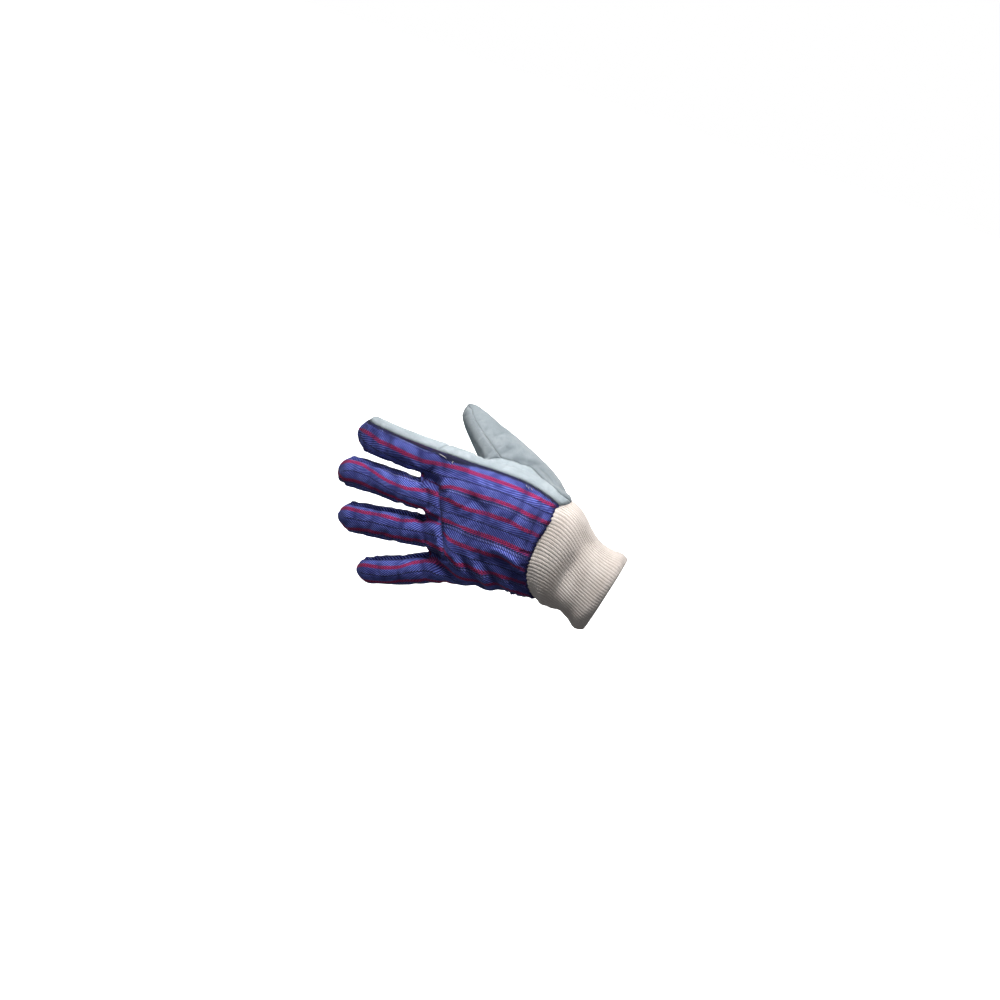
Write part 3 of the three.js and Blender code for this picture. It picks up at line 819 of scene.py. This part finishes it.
def seam_distance(shell):
    """How far each vertex is from the nearest seam, and that seam's nearest point."""
    seams = [border_edges(shell.faces[shell.label == name]) for name in set(shell.label)]
    tree = tree_of(shell.table[np.unique(np.concatenate(seams)), :3])
    found = [tree.find(p) for p in shell.table[:, :3].tolist()]
    return np.array([f[2] for f in found]), np.array([list(f[0]) for f in found])


LEATHER_SOFTNESS, SEAM_DIP, GATHER_REPEAT = 0.3, 1.0, 4.3
flat = shell.table[:, :3].copy()
points = flat.copy()
distance, seam_points = seam_distance(shell)
normals = normals_of(points, shell.faces)
to_wrist = shell.column("body")
hides = np.unique(shell.faces[[name.startswith("leather") for name in shell.label]])
softness = np.ones(len(points))
softness[hides] = LEATHER_SOFTNESS
rise = folded()
rise += rumples(count=460, height=1.0) * softness
rise += puckers(count=340, reach=12, height=0.42, width=1.3, length=4.5)
fold = rise.copy()
fade = smooth(0, 6, to_wrist)
rise = rise * (0.35 + 0.65 * fade)
rise -= SEAM_DIP * np.exp(-((distance / 1.25) ** 1.6))
rise += 0.25 * np.exp(-(((distance - 3.6) / 2) ** 2))
arc = flat[:, 2] * (np.abs(normals[:, 1]) > 0.5) + flat[:, 1] * (np.abs(normals[:, 1]) <= 0.5)
gathers = -1.5 - 0.4 * np.sin(2 * np.pi * arc / GATHER_REPEAT)
rise += gathers * np.exp(-((to_wrist / 2.6) ** 2))
points += normals * rise[:, None]
normals = normals_of(points, shell.faces)

# Panels: name, node that it replaces, slot and thickness
PANELS = [
    ("cotton_back", "back_panel", "cotton", 1.2),
    ("cotton_knuckles", "knuckle_panel", "cotton", 1.2),
    ("fork_index_middle", "strip_index_middle", "cotton", 1.1),
    ("fork_middle_ring", "strip_middle_ring", "cotton", 1.1),
    ("fork_ring_little", "strip_ring_little", "cotton", 1.1),
    ("hide_palm", "leather_palm", "leather", 1.4),
    ("hide_index", "leather_index", "leather", 1.4),
    ("hide_thumb_back", "leather_thumb_back", "leather", 1.4),
    ("hide_thumb_front", "leather_thumb_front", "leather", 1.4),
]


# Shader maths as Python expressions
class Socket:
    """An output socket; arithmetic on it adds Math nodes to its material."""

    def __init__(self, finish, output):
        self.finish, self.output = finish, output

    def math(self, operation, *values):
        return self.finish.node("Math", {"operation": operation}, dict(enumerate(values)))

    def __add__(self, other):
        return self.math("ADD", self, other)

    __radd__ = __add__

    def __sub__(self, other):
        return self.math("SUBTRACT", self, other)

    def __rsub__(self, other):
        return self.math("SUBTRACT", other, self)

    def __mul__(self, other):
        return self.math("MULTIPLY", self, other)

    __rmul__ = __mul__

    def __truediv__(self, other):
        return self.math("DIVIDE", self, other)

    def __mod__(self, other):
        return self.math("FLOORED_MODULO", self, other)

    def __abs__(self):
        return self.math("ABSOLUTE", self)

    def sine(self):
        return self.math("SINE", self)

    def most(self, other):
        return self.math("MAXIMUM", self, other)

    def step(self, low, high, start=0.0, end=1.0):
        """A smooth change from start to end as the value goes from low to high."""
        settings = {"interpolation_type": "SMOOTHSTEP"}
        values = {"Value": self, "From Min": low, "From Max": high, "To Min": start, "To Max": end}
        return self.finish.node("MapRange", settings, values)


class Finish:
    """A material built from expressions, with one Principled shader."""

    def __init__(self, name):
        self.material = bpy.data.materials.new(name)
        self.material.use_nodes = True
        self.tree = self.material.node_tree
        self.shader = self.tree.nodes["Principled BSDF"]

    def node(self, kind, settings=None, values=None, output=0):
        made = self.tree.nodes.new("ShaderNode" + kind)
        for name, value in (settings or {}).items():
            if name == "stops":
                self.stops(made.color_ramp, value)
            else:
                setattr(made, name, value)
        for name, value in (values or {}).items():
            self.feed(made.inputs[name], value)
        return Socket(self, made.outputs[output])

    def stops(self, ramp, stops):
        while len(ramp.elements) < len(stops):
            ramp.elements.new(0.5)
        for element, (place, colour) in zip(ramp.elements, stops):
            element.position, element.color = place, (*colour, 1)

    def feed(self, socket, value):
        if isinstance(value, Socket):
            self.tree.links.new(value.output, socket)
        elif isinstance(value, tuple) and len(value) == 3 and socket.type == "RGBA":
            socket.default_value = (*value, 1)
        else:
            socket.default_value = value

    def attribute(self, name):
        return self.node("Attribute", {"attribute_name": name}, output=2)

    def mix(self, share, first, second, blend="MIX"):
        """Colours mixed by a share of the second one."""
        settings = {"data_type": "RGBA", "blend_type": blend, "clamp_factor": True}
        return self.node("Mix", settings, {0: share, 6: first, 7: second}, output=2)

    def noise(self, vector, scale, detail=2.0, roughness=0.5):
        values = {"Vector": vector, "Scale": scale, "Detail": detail, "Roughness": roughness}
        return self.node("TexNoise", {"noise_dimensions": "3D"}, values)

    def place(self, x, y, z):
        return self.node("CombineXYZ", {}, {0: x, 1: y, 2: z})

    def surface(self, colour, roughness, sheen=0.0, sheen_roughness=0.5, shine=0.5):
        """Sets the shader and gives the finished material."""
        values = {"Base Color": colour, "Roughness": roughness, "Sheen Weight": sheen}
        values |= {"Sheen Roughness": sheen_roughness, "Specular IOR Level": shine}
        for name, value in values.items():
            self.feed(self.shader.inputs[name], value)
        return self.material

    def raised(self, height, distance, strength=1.0):
        values = {"Height": height, "Distance": distance, "Strength": strength}
        self.feed(self.shader.inputs["Normal"], self.node("Bump", {}, values))


# The cloth's pattern in millimetres: its repeat, with red stripes at 0 and SECOND_STRIPE
REPEAT, SECOND_STRIPE, LINE = 34.4, 15.0, 24.7
INDIGO, PALE, CRIMSON = (0.009, 0.01, 0.15), (0.26, 0.32, 1.0), (0.66, 0.045, 0.2)
BLACK = (0.008, 0.008, 0.02)


def cotton():
    """Herringbone twill in navy and pale blue with crimson stripes and thin black lines."""
    f = Finish("striped_cotton")
    across, along = f.attribute("across"), f.attribute("along")
    wander = f.noise(f.place(across * 0.05, along * 0.05, 0), 1.0, 2)
    # the twill turns at every stripe and line; the ramp holds the turned coordinate
    p = (across % REPEAT) / REPEAT
    turns = [(0, 0), (10.6, -1), (SECOND_STRIPE, 1), (LINE, -1), (REPEAT, 1)]
    level, stops = 0.5, []
    for k, (turn, way) in enumerate(turns):
        level += way * (turn - turns[max(k - 1, 0)][0]) / 40
        stops.append((turn / REPEAT, (level, level, level)))
    turned = f.node("ValToRGB", {"stops": stops}, {0: p}) * 40
    thread = (along * 0.62 + turned * 0.79 + wander * 0.8) * (2 * math.pi / 1.62)
    wale = thread.sine() * 0.5 + 0.5
    slub = f.noise(f.place(across * 1.1, along * 0.16, 0), 1.0, 3)
    pick = f.noise(f.place(across * 1.6, along * 1.3, 3), 1.0, 2)
    light = wale.step(0.17, 0.77) * slub.step(0.3, 0.62, 0.6, 1) * pick.step(0.3, 0.6, 0.7, 1)
    cloth = f.mix(light, INDIGO, PALE)
    faded = f.noise(f.place(across * 0.09, along * 0.07, 7), 1.0, 2)
    cloth = f.mix(faded.step(0.42, 0.62, 0, 0.5), cloth, (0.02, 0.02, 0.15))
    fuzz = (pick - 0.5) * 1.2 + (wale - 0.5) * 0.9
    q = (across + fuzz) % REPEAT

    def line(place, half, soft):
        return abs(q - place).step(half, half + soft, 1, 0)

    red = line(0, 1.5, 0.9).most(line(REPEAT, 1.5, 0.9))
    red = red.most(line(SECOND_STRIPE, 1.5, 0.9))
    black = line(LINE, 0.28, 0.4).most(line(11.9, 0.3, 0.4)).most(line(9.2, 0.22, 0.4) * 0.8)
    cloth = f.mix(line(10.5, 0.15, 0.5) * 0.35, cloth, (0.3, 0.32, 0.6))
    cloth = f.mix(red * 0.96, cloth, f.mix(light, (0.13, 0.008, 0.05), CRIMSON))
    cloth = f.mix(black * 0.92, cloth, BLACK)
    # dark edge by the leather: partly the cloth's own dark edge, partly a painted shadow of the
    # leather's edge
    band = f.attribute("band")
    ragged = f.noise(f.place(across * 0.5, along * 0.5, 9), 1.0, 3) * 2.4
    edge = (band + fuzz * 0.8 + ragged).step(3.6, 5.2, 1, 0)
    cloth = f.mix(edge * 0.95, cloth, BLACK)
    # painted shade: dark navy laid into the folds, along the seams and on the inside
    cloth = f.mix(f.attribute("hollow") * 0.55, cloth, (0.012, 0.012, 0.09))
    height = wale * 0.5 + pick * 0.35 + slub * 0.3 - black * 0.3
    f.raised(height, 0.00028, 0.9)
    return f.surface(cloth, 0.88, 0.12, 0.5, 0.25)


def leather(name, tone):
    """Pale grey split leather with a soft nap, a little mottled, with painted shade in its creases,
    along its seams and on its inside.
    """
    f = Finish(name)
    dark, light, spots, tips, shade = (
        tuple(tone * c for c in colour)
        for colour in [
            (0.37, 0.445, 0.485),
            (0.51, 0.58, 0.625),
            (0.31, 0.375, 0.42),
            (0.62, 0.67, 0.71),
            (0.19, 0.24, 0.28),
        ]
    )
    spot = f.node("TexCoord", {}, {}, output=3)
    cloudy = f.noise(spot, 45, 3, 0.6)
    mottle = f.noise(spot, 260, 3, 0.6)
    nap = f.noise(spot, 1500, 2, 0.7)
    drawn = f.node("VectorMath", {"operation": "MULTIPLY"}, {0: spot, 1: (600, 2600, 2600)})
    fibre = f.noise(drawn, 1.0, 2)
    hide = f.mix(cloudy.step(0.3, 0.7), dark, light)
    hide = f.mix(mottle.step(0.4, 0.75, 0, 0.4), hide, spots)
    hide = f.mix(nap.step(0.35, 0.7, 0, 0.25), hide, tips)
    # painted shade: the shade colour laid into the creases, along the seams and on the inside
    hide = f.mix(f.attribute("hollow") * 0.6, hide, shade)
    f.raised(nap * 0.6 + fibre * 0.4 + mottle * 1.2, 0.0004, 0.8)
    return f.surface(hide, 0.95, 0.25, 0.6, 0.2)


def knit():
    """Cream rib knit: the ribs are in the mesh, their stitches and fuzz are here, with painted shade
    between the ribs and on the inside.
    """
    f = Finish("rib_knit")
    across, along = f.attribute("across"), f.attribute("along")
    rib = f.attribute("rib")
    column = abs(across % 1.0 - 0.5)
    vee = ((along / 1.35 + column * 1.3) * (2 * math.pi)).sine() * 0.5 + 0.5
    fuzz = f.noise(f.place(across * 2.2, along * 0.9, 0), 1.0, 3)
    tone = f.noise(f.place(across * 0.08, along * 0.06, 5), 1.0, 2)
    yarn = f.mix(tone.step(0.35, 0.65), (0.73, 0.65, 0.6), (0.86, 0.78, 0.73))
    yarn = f.mix(vee.step(0.1, 0.6, 0.25, 0), yarn, (0.5, 0.44, 0.39))
    # painted shade in the valleys between the ribs
    yarn = f.mix(rib.step(-0.5, 0.0, 0.4, 0), yarn, (0.36, 0.32, 0.28))
    # painted shade on the inside of the cuff
    yarn = f.mix(f.attribute("hollow") * 0.5, yarn, (0.4, 0.32, 0.24))
    f.raised(vee * 0.7 + fuzz * 0.6, 0.0003, 0.9)
    return f.surface(yarn, 0.92, 0.3, 0.5, 0.2)


def pale_thread():
    f = Finish("pale_thread")
    twist = f.noise(f.node("TexCoord", {}, {}, output=3), 2500, 2)
    f.raised(twist, 0.0001, 0.8)
    colour = f.mix(twist.step(0.3, 0.7, 0, 0.3), (0.8, 0.8, 0.8), (0.4, 0.37, 0.32))
    return f.surface(colour, 0.7)


# Shares of the leather's brightness; the thumb's much lower share is painted shade, a darker copy of
# the same leather
PALM_TONE, THUMB_SHADED_TONE = 0.81, 0.56
materials = {"cotton": cotton(), "leather": leather("split_leather", PALM_TONE), "knit": knit()}
shaded_thumb_leather = leather("shaded_thumb_leather", THUMB_SHADED_TONE)

# Red stripes and black lines measured on the back: across value in the cloth, then x and the
# distance round the section, in millimetres
PALM_LINES = [
    (0, [(-147, 53), (-127, 51.8), (-107, 50.5), (-87, 48.6), (-72, 47.1)]),
    (-9.7, [(-147, 42.5), (-127, 41.7), (-107, 40.4), (-87, 38.5), (-72, 37.6)]),
    (-19.4, [(-147, 33.5), (-127, 31.7), (-102, 30.8), (-87, 29.2), (-72, 28.5)]),
    (-34.4, [(-153, 21.3), (-138, 17.3), (-118, 16.9), (-102, 16.5), (-87, 14.4), (-72, 13.5)]),
    (-44.1, [(-138, 9.5), (-108, 7.1), (-78, 5.4)]),
    (-53.8, [(-148, 1.8), (-138, -0.7), (-118, -2.6), (-108, -2.5), (-88, -4), (-73, -4.6)]),
    (-68.8, [(-139, -16.3), (-119, -18.2), (-104, -18.4), (-93, -17.5), (-79, -19.9), (-72, -21.7)]),
    (-88.2, [(-147, -27.5), (-140, -31.6), (-130, -37), (-120, -38.5), (-105, -40.6), (-94, -36.7)]),
]
INDEX_LINES = [
    (0, [
        (-249, 4.4), (-239, 2.7), (-228, 0.7), (-212, 0.7), (-197, -0.7), (-187, -1.8),
        (-177, 0.3), (-157, 3.5), (-147, 4.3),
    ]),
]
MIDDLE_LINES = [
    (-34.4, [
        (-257, 10.6), (-251, 13.6), (-244, 14.6), (-236, 13.9), (-227.6, 10.8), (-218, 7.2),
        (-210, 5.4), (-200, 4.7), (-191, 4.9), (-183, 7.6), (-175, 10), (-167, 9.6), (-161, 8.2),
    ]),
    (-44.1, [
        (-254, 1), (-245, 3.9), (-237, 4.6), (-226, 3.4), (-216, 0.8), (-205, -1.8), (-194, -2.3),
        (-181, -1.4), (-172, -1.4), (-162, -2),
    ]),
    (-53.8, [
        (-250, -7), (-241, -4.8), (-233, -4.8), (-223, -6.8), (-205, -8.6), (-179, -9),
        (-164, -10.6),
    ]),
]
RING_LINES = [
    (-68.8, [
        (-242, 11.6), (-233, 11.2), (-222, 10.6), (-211, 11.8), (-201, 10.9), (-190, 9.8),
        (-182, 11.1), (-176, 13.5), (-162, 13.8),
    ]),
    (-78.5, [
        (-242, 1.1), (-222, 1.6), (-212, 2.1), (-201, 1.9), (-190, 0.9), (-180, 1.7), (-170, 1.5),
    ]),
    (-88.2, [
        (-234, -11.8), (-223, -8.3), (-212, -7.6), (-202, -7.7), (-191, -8.2), (-176, -8.6),
        (-165, -7.6),
    ]),
]
LITTLE_LINES = [
    (-103.2, [
        (-213, 8.1), (-205, 7.3), (-194, 5.8), (-186, 5.8), (-178, 6.1), (-172, 8), (-167, 9.8),
        (-157, 11.5), (-149, 8.9), (-141, 3.4),
    ]),
    (-122.6, [(-213, -9), (-186, -11), (-168, -7.8), (-157, -10.2), (-152, -9.5), (-141, -14)]),
]


def woven(limb, lines, where):
    """The cloth's across value and the run along the limb, for points in space."""
    run, w, d, width, depth, _ = limb.local(where)
    arc = np.sign(w) * (np.abs(w) + 0.75 * (d + depth))
    order = sorted(lines)
    drawn = [np.interp(where[:, 0], *np.array(line).T) for _, line in order]
    values = [value for value, _ in order]
    across = values[0] + arc - drawn[0]
    for k in range(1, len(order)):
        share = (arc - drawn[k - 1]) / (drawn[k] - drawn[k - 1])
        between = values[k - 1] + share * (values[k] - values[k - 1])
        across = np.where(arc > drawn[k - 1], between, across)
    across = np.where(arc > drawn[-1], values[-1] + arc - drawn[-1], across)
    return across, run - limb.centre[0, 0], np.abs(w) / width


def cloth_grain(node, where):
    """Across and along values of the cloth of a panel."""
    x, _, z = where.T
    if node.startswith("strip"):
        (_, near0, front0, *_), (_, near1, front1, *_) = (
            fingers[name].local(where) for name in node.split("_")[1:]
        )
        front = np.where(np.abs(near0) < np.abs(near1), front0, front1)
        return front * 0.85 + LINE, -x
    if node == "knuckle_panel":
        q1, s1, near1 = woven(fingers["middle"], MIDDLE_LINES, where)
        q2, s2, near2 = woven(fingers["ring"], RING_LINES, where)
        share = smooth(-0.3, 0.3, near1 - near2)
        return q1 + (q2 - q1) * share, s1 + (s2 - s1) * share
    q, s = woven(palm, PALM_LINES, where)[0], -x
    q1, s1, _ = woven(fingers["index"], INDEX_LINES, where)
    share = smooth(-154, -166, x) * (z > 35)
    q, s = q + (q1 - q) * share, s + (s1 - s) * share
    q2, s2, _ = woven(fingers["little"], LITTLE_LINES, where)
    share = smooth(6, 26, fingers["little"].local(where)[0]) * (z < 5)
    return q + (q2 - q) * share, s + (s2 - s) * share


FAR_FROM_LEATHER = 99.0


def sew_panel(name, node, slot, thickness):
    """One panel as a closed sheet, with the values that its material reads."""
    faces = shell.faces[shell.label == node]
    p, f, at, band, deep, far, edge = used_only(
        points, faces, flat, shell.column("band"), fold, distance, to_wrist
    )
    count = len(p)
    p, f = thick(p, f, normals_of(p, f), thickness)
    made = object_of(name, p, f)
    # the thumb panels take the darker copy of the leather, which is painted shade
    made.data.materials.append(shaded_thumb_leather if "thumb" in node else materials[slot])
    # shade painted into the colour: darkest in the valleys of the folds and along every seam
    hollow = smooth(0.2, -1.6, deep) + 0.6 * np.exp(-((far / 1.1) ** 2))
    if slot == "cotton":
        # on the cotton, painted shade along the seam to the knit as well
        hollow = hollow + 0.9 * np.exp(-((edge / 2.6) ** 2))
        across, along = cloth_grain(node, at)
        attribute(made.data, "across", np.tile(across, 2))
        attribute(made.data, "along", np.tile(along, 2))
        # the dark edge by the leather, dark cloth with a painted shadow of the leather's edge, is
        # widest at the root of the index finger
        band = band / (0.72 + 0.5 * np.exp(-(((at[:, 0] + 165) / 30) ** 2)))
        band = band if node == "back_panel" else np.full(count, FAR_FROM_LEATHER)
        attribute(made.data, "band", np.tile(band, 2))
    # the inner face carries painted shade all over
    attribute(made.data, "hollow", np.concatenate([hollow, np.full(count, 0.6)]))
    finished(made, slot, node)


for panel in PANELS:
    sew_panel(*panel)


# Knit wrist; its waves are given as share of its length, angle round it, their two spreads and rise
RIB_COLUMNS = 8
COLUMNS, ROWS = 76 * RIB_COLUMNS, 60
KNIT_LENGTH, KNIT_THICKNESS, RIB_HEIGHT, HEM_RADIUS, TUCKED_IN = 55, 2.6, 0.32, 1.7, 3
WAVES = [
    (0.6, 0, 0.17, 55, -2.0),
    (0.93, 0, 0.1, 70, 2.2),
    (0.2, 180, 0.13, 45, 2.8),
    (0.4, 180, 0.09, 40, 1.2),
    (0.58, 180, 0.08, 45, -1.4),
    (0.9, 180, 0.1, 60, 3.0),
    (0.95, -90, 0.08, 60, 1.2),
    (0.95, 90, 0.08, 60, 1.6),
    (0.45, 70, 0.12, 30, -1.6),
    (0.7, 110, 0.12, 30, 1.2),
]
DENT_DEPTH = 1.3
# An oblique dent across the back of it: angle and share of the length
DENT = [(-150, 0.43), (-122, 0.475), (-98, 0.5), (-87, 0.51), (-60, 0.52), (-31, 0.52), (-10, 0.53)]


def knit_waves(share, angle):
    """Rise of the knit at shares of its length (rows) and angles in degrees (columns)."""
    rise = np.zeros((len(share), len(angle)))
    for s, turn, ds, da, height in WAVES:
        away = (angle - turn + 180) % 360 - 180
        rise += height * np.exp(-(((share[:, None] - s) / ds) ** 2) - (away[None] / da) ** 2)
    there = (angle + 180) % 360 - 180
    middle = np.interp(there, *np.array(DENT).T)
    fade = smooth(-160, -120, there) * smooth(5, -30, there)
    rise -= DENT_DEPTH * fade[None] * np.exp(-(((share[:, None] - middle[None]) / 0.12) ** 2))
    return rise


def knit_rows():
    """Points of the knit before its ribs, in rows from the seam to the hem, and their angles."""
    angle = np.linspace(0, 2 * np.pi, 1441)
    run = np.linspace(0, wrist.length, 200)
    grid_run, grid_angle = np.meshgrid(run, angle, indexing="ij")
    grid = creased(wrist.surface(grid_run, grid_angle), np.sin(grid_angle), np.cos(grid_angle))
    past = grid[..., 0] - wrist_seam(grid[..., 1], grid[..., 2]) + TUCKED_IN > 0
    first = run[past.argmax(0)]
    even = np.arange(COLUMNS) / COLUMNS
    rows = []
    for share in np.linspace(0, 1, ROWS):
        at = first + (wrist.length - first) * share
        line = creased(wrist.surface(at, angle), np.sin(angle), np.cos(angle))
        arc = lengths_along(line)
        rows.append(np.stack([np.interp(even * arc[-1], arc, c) for c in line.T], 1))
    return np.array(rows), np.degrees(np.interp(even, arc / arc[-1], angle))


def fitted(ends, outward):
    """How far out the knit's end has to move to meet the inside of the shell."""
    under = np.abs(to_wrist - TUCKED_IN) < 1.2
    tree = tree_of(points[under] - normals[under] * 1.5)
    near = np.array([tree.find(end)[0] for end in ends.tolist()])
    gap = np.clip(((near - ends) * outward).sum(1) * 1.15 - 0.6, -3, 11)
    return np.convolve(np.concatenate([gap[-14:], gap, gap[:14]]), np.ones(29) / 29, "valid")


def knit_wrist():
    out, angle = knit_rows()
    order = np.arange(ROWS * COLUMNS).reshape(ROWS, COLUMNS)
    walls = np.concatenate(ring_walls(order))[:, ::-1]
    normal = normals_of(out.reshape(-1, 3), walls).reshape(out.shape)
    outward = ((out - out.mean(1, keepdims=True)) * normal).sum() > 0
    if not outward:
        normal = -normal
    rib = np.abs(np.sin(np.pi * np.arange(COLUMNS) / RIB_COLUMNS)) ** 0.6 - 0.5
    share = np.linspace(0, 1, ROWS)
    from_seam = share[:, None] * KNIT_LENGTH
    out = out + normal * knit_waves(share, angle)[..., None]
    fit = fitted(out[0], normal[0]) * np.exp(-((np.maximum(from_seam - TUCKED_IN, 0) / 6) ** 2))
    outer = out + normal * (rib * RIB_HEIGHT + fit)[..., None]
    hem, inner = [], []
    along = unit(out[-1] - out[-2])
    for bend in np.linspace(0, np.pi, 7)[1:]:
        rise = rib * RIB_HEIGHT * (1 - bend / np.pi * 0.5) - (1 - math.cos(bend)) * HEM_RADIUS
        hem.append(out[-1] + normal[-1] * rise[:, None] + along * math.sin(bend) * HEM_RADIUS)
    for k in np.linspace(ROWS - 2, 0, 24).astype(int):
        depth = KNIT_THICKNESS - rib * 0.4 + 2.2 * math.exp(-((from_seam[k, 0] / 4) ** 2))
        inner.append(out[k] - normal[k] * depth[:, None])
    rings = np.array([*outer, *hem, *inner])
    count = len(rings)
    a = np.arange(count * COLUMNS).reshape(count, COLUMNS)
    b = np.roll(a, -1, axis=1)
    c, d = np.roll(a, -1, axis=0), np.roll(b, -1, axis=0)
    faces = np.stack([a, c, d, b], -1).reshape(-1, 4)
    if not outward:
        faces = faces[:, ::-1]
    made = object_of("knit_cuff", rings.reshape(-1, 3), faces)
    step = np.linalg.norm(np.diff(rings, axis=0), axis=2).mean(1)
    far = np.concatenate([[0], np.cumsum(step)])
    attribute(made.data, "across", np.tile(np.arange(COLUMNS) / RIB_COLUMNS, count))
    attribute(made.data, "along", np.repeat(far, COLUMNS))
    attribute(made.data, "rib", np.tile(rib, count))
    # painted shade over the inside rings and the hem's last turn
    attribute(made.data, "hollow", np.repeat((np.arange(count) > ROWS + 4) * 1.0, COLUMNS))
    made.data.materials.append(materials["knit"])
    finished(made, "knit", "knit_wrist")


knit_wrist()


# Loose ends of pale thread at the edge of the leather
def tube(path, radius, sides=7):
    """A thin closed tube along a smooth path, as points and triangles."""
    line = spline(path, np.linspace(0, len(path) - 1, 6 * (len(path) - 1) + 1))
    ahead = unit(np.gradient(line, axis=0))
    side = unit(np.cross(ahead, [0.3, 0.2, 0.93]))
    other = np.cross(ahead, side)
    turn = 2 * np.pi * np.arange(sides) / sides
    thin = np.minimum(1, 0.35 + np.minimum(np.arange(len(line)), np.arange(len(line))[::-1]) / 3)
    ring = np.cos(turn)[None, :, None] * side[:, None] + np.sin(turn)[None, :, None] * other[:, None]
    rings = line[:, None] + ring * radius * thin[:, None, None]
    order = np.arange(rings[..., 0].size).reshape(rings.shape[:2])
    first, last = order[0], order[-1]
    fans = [
        np.stack([np.full(sides - 2, first[0]), first[2:], first[1:-1]], -1),
        np.stack([np.full(sides - 2, last[0]), last[1:-1], last[2:]], -1),
    ]
    return rings.reshape(-1, 3), np.concatenate([*ring_walls(order), *fans])


THREAD_RADIUS = 0.22
# Each end: place on the glove as x and z, then its steps along x, up from the cloth and along z
LOOSE_ENDS = [
    (-174, 69.4, [(0, 0, 0), (1.6, 0.9, -0.4), (3.4, 1.1, -0.9), (5.6, 0.8, -1.2), (7, 0.1, -1.9)]),
    (-161.5, 67.8, [(0, 0, 0), (0.4, 0.9, -0.7), (0.3, 1.1, -1.6), (0.8, 0.4, -2.2)]),
    (-94.5, 70.2, [(0, 0, 0), (-0.4, 1.1, -1), (0.3, 1.5, -2), (1.2, 0.9, -2.4)]),
    (-91.5, 69.9, [(0, 0, 0), (0.7, 1, -0.8), (0.4, 1.4, -1.8), (1.4, 0.7, -2.6)]),
    (-89.3, 69.5, [(0, 0, 0), (0.8, 0.9, -0.5), (1.8, 1.1, -1.2), (2.4, 0.3, -1.8)]),
]


def loose_ends():
    ends = []
    ground = np.flatnonzero(normals[:, 1] < -0.1)
    for x, z, steps in LOOSE_ENDS:
        near = ground[((points[ground, 0] - x) ** 2 + (points[ground, 2] - z) ** 2).argmin()]
        base, out = points[near], normals[near]
        path = [base + out * (0.15 + step[1]) + np.array([step[0], 0, step[2]]) for step in steps]
        ends.append(tube(path, THREAD_RADIUS))
    made = object_of("loose_threads", *joined(ends))
    made.data.materials.append(pale_thread())
    finished(made, "knit")


loose_ends()


# Floor, background and lights
def glow(name, colour, strength):
    material = bpy.data.materials.new(name)
    material.use_nodes = True
    tree = material.node_tree
    tree.nodes.clear()
    light = tree.nodes.new("ShaderNodeEmission")
    light.inputs["Color"].default_value = (*colour, 1)
    light.inputs["Strength"].default_value = strength
    out = tree.nodes.new("ShaderNodeOutputMaterial")
    tree.links.new(light.outputs[0], out.inputs[0])
    return material


def stage():
    low = cad_box[0][2] - 0.25
    bpy.ops.mesh.primitive_circle_add(vertices=96, radius=9, fill_type="NGON", location=(0, 0, low))
    floor = bpy.context.object
    floor.name = "floor"
    pale = bpy.data.materials.new("pale_floor")
    pale.use_nodes = True
    shader = pale.node_tree.nodes["Principled BSDF"]
    shader.inputs["Base Color"].default_value = (0.93, 0.93, 0.93, 1)
    shader.inputs["Roughness"].default_value = 0.9
    shader.inputs["Emission Color"].default_value = (1, 1, 1, 1)
    shader.inputs["Emission Strength"].default_value = 0.9
    floor.data.materials.append(pale)
    bpy.ops.mesh.primitive_uv_sphere_add(segments=64, ring_count=32, radius=10)
    dome = bpy.context.object
    dome.name = "backdrop"
    dome.data.materials.append(glow("white_backdrop", (1, 1, 1), 1.0))
    for made in (floor, dome):
        made.visible_diffuse = made.visible_glossy = False
    dome.visible_shadow = dome.visible_transmission = False


WARM, COOL = (1, 0.985, 0.97), (0.93, 0.96, 1)
# Lamps: name, place in metres, size, power in watts and colour
LAMPS = [
    ("near", (-0.12, -0.1, 0.3), 0.1, 0.84, WARM),
    ("fill", (-1.2, -1.4, 0.2), 1.4, 1.0, COOL),
    ("rear", (0.2, 1.7, 0.15), 1.2, 36, (1, 1, 1)),
]


def area(name, place, size, power, colour, target):
    data = bpy.data.lights.new(name, "AREA")
    data.shape, data.size, data.energy, data.color = "DISK", size, power, colour
    lamp = bpy.data.objects.new(name, data)
    bpy.context.scene.collection.objects.link(lamp)
    lamp.location = place
    aim = (Vector(target) - Vector(place)).to_track_quat("-Z", "Y")
    lamp.rotation_mode, lamp.rotation_quaternion = "QUATERNION", aim


def lights():
    middle = (cad_box[0] + cad_box[1]) / 2
    data = bpy.data.lights.new("key", "SUN")
    data.energy, data.angle, data.color = 1.6, math.radians(8), WARM
    key = bpy.data.objects.new("key", data)
    bpy.context.scene.collection.objects.link(key)
    key.rotation_mode = "QUATERNION"
    key.rotation_quaternion = Vector((-0.25, -0.25, 0.93)).to_track_quat("Z", "Y")
    for lamp in LAMPS:
        area(*lamp, middle)
    world = bpy.data.worlds.new("world")
    world.use_nodes = True
    sky = world.node_tree.nodes["Background"].inputs
    sky["Color"].default_value = (*COOL, 1)
    sky["Strength"].default_value = 0.12
    bpy.context.scene.world = world


stage()
lights()
bpy.context.scene.view_settings.view_transform = "Standard"
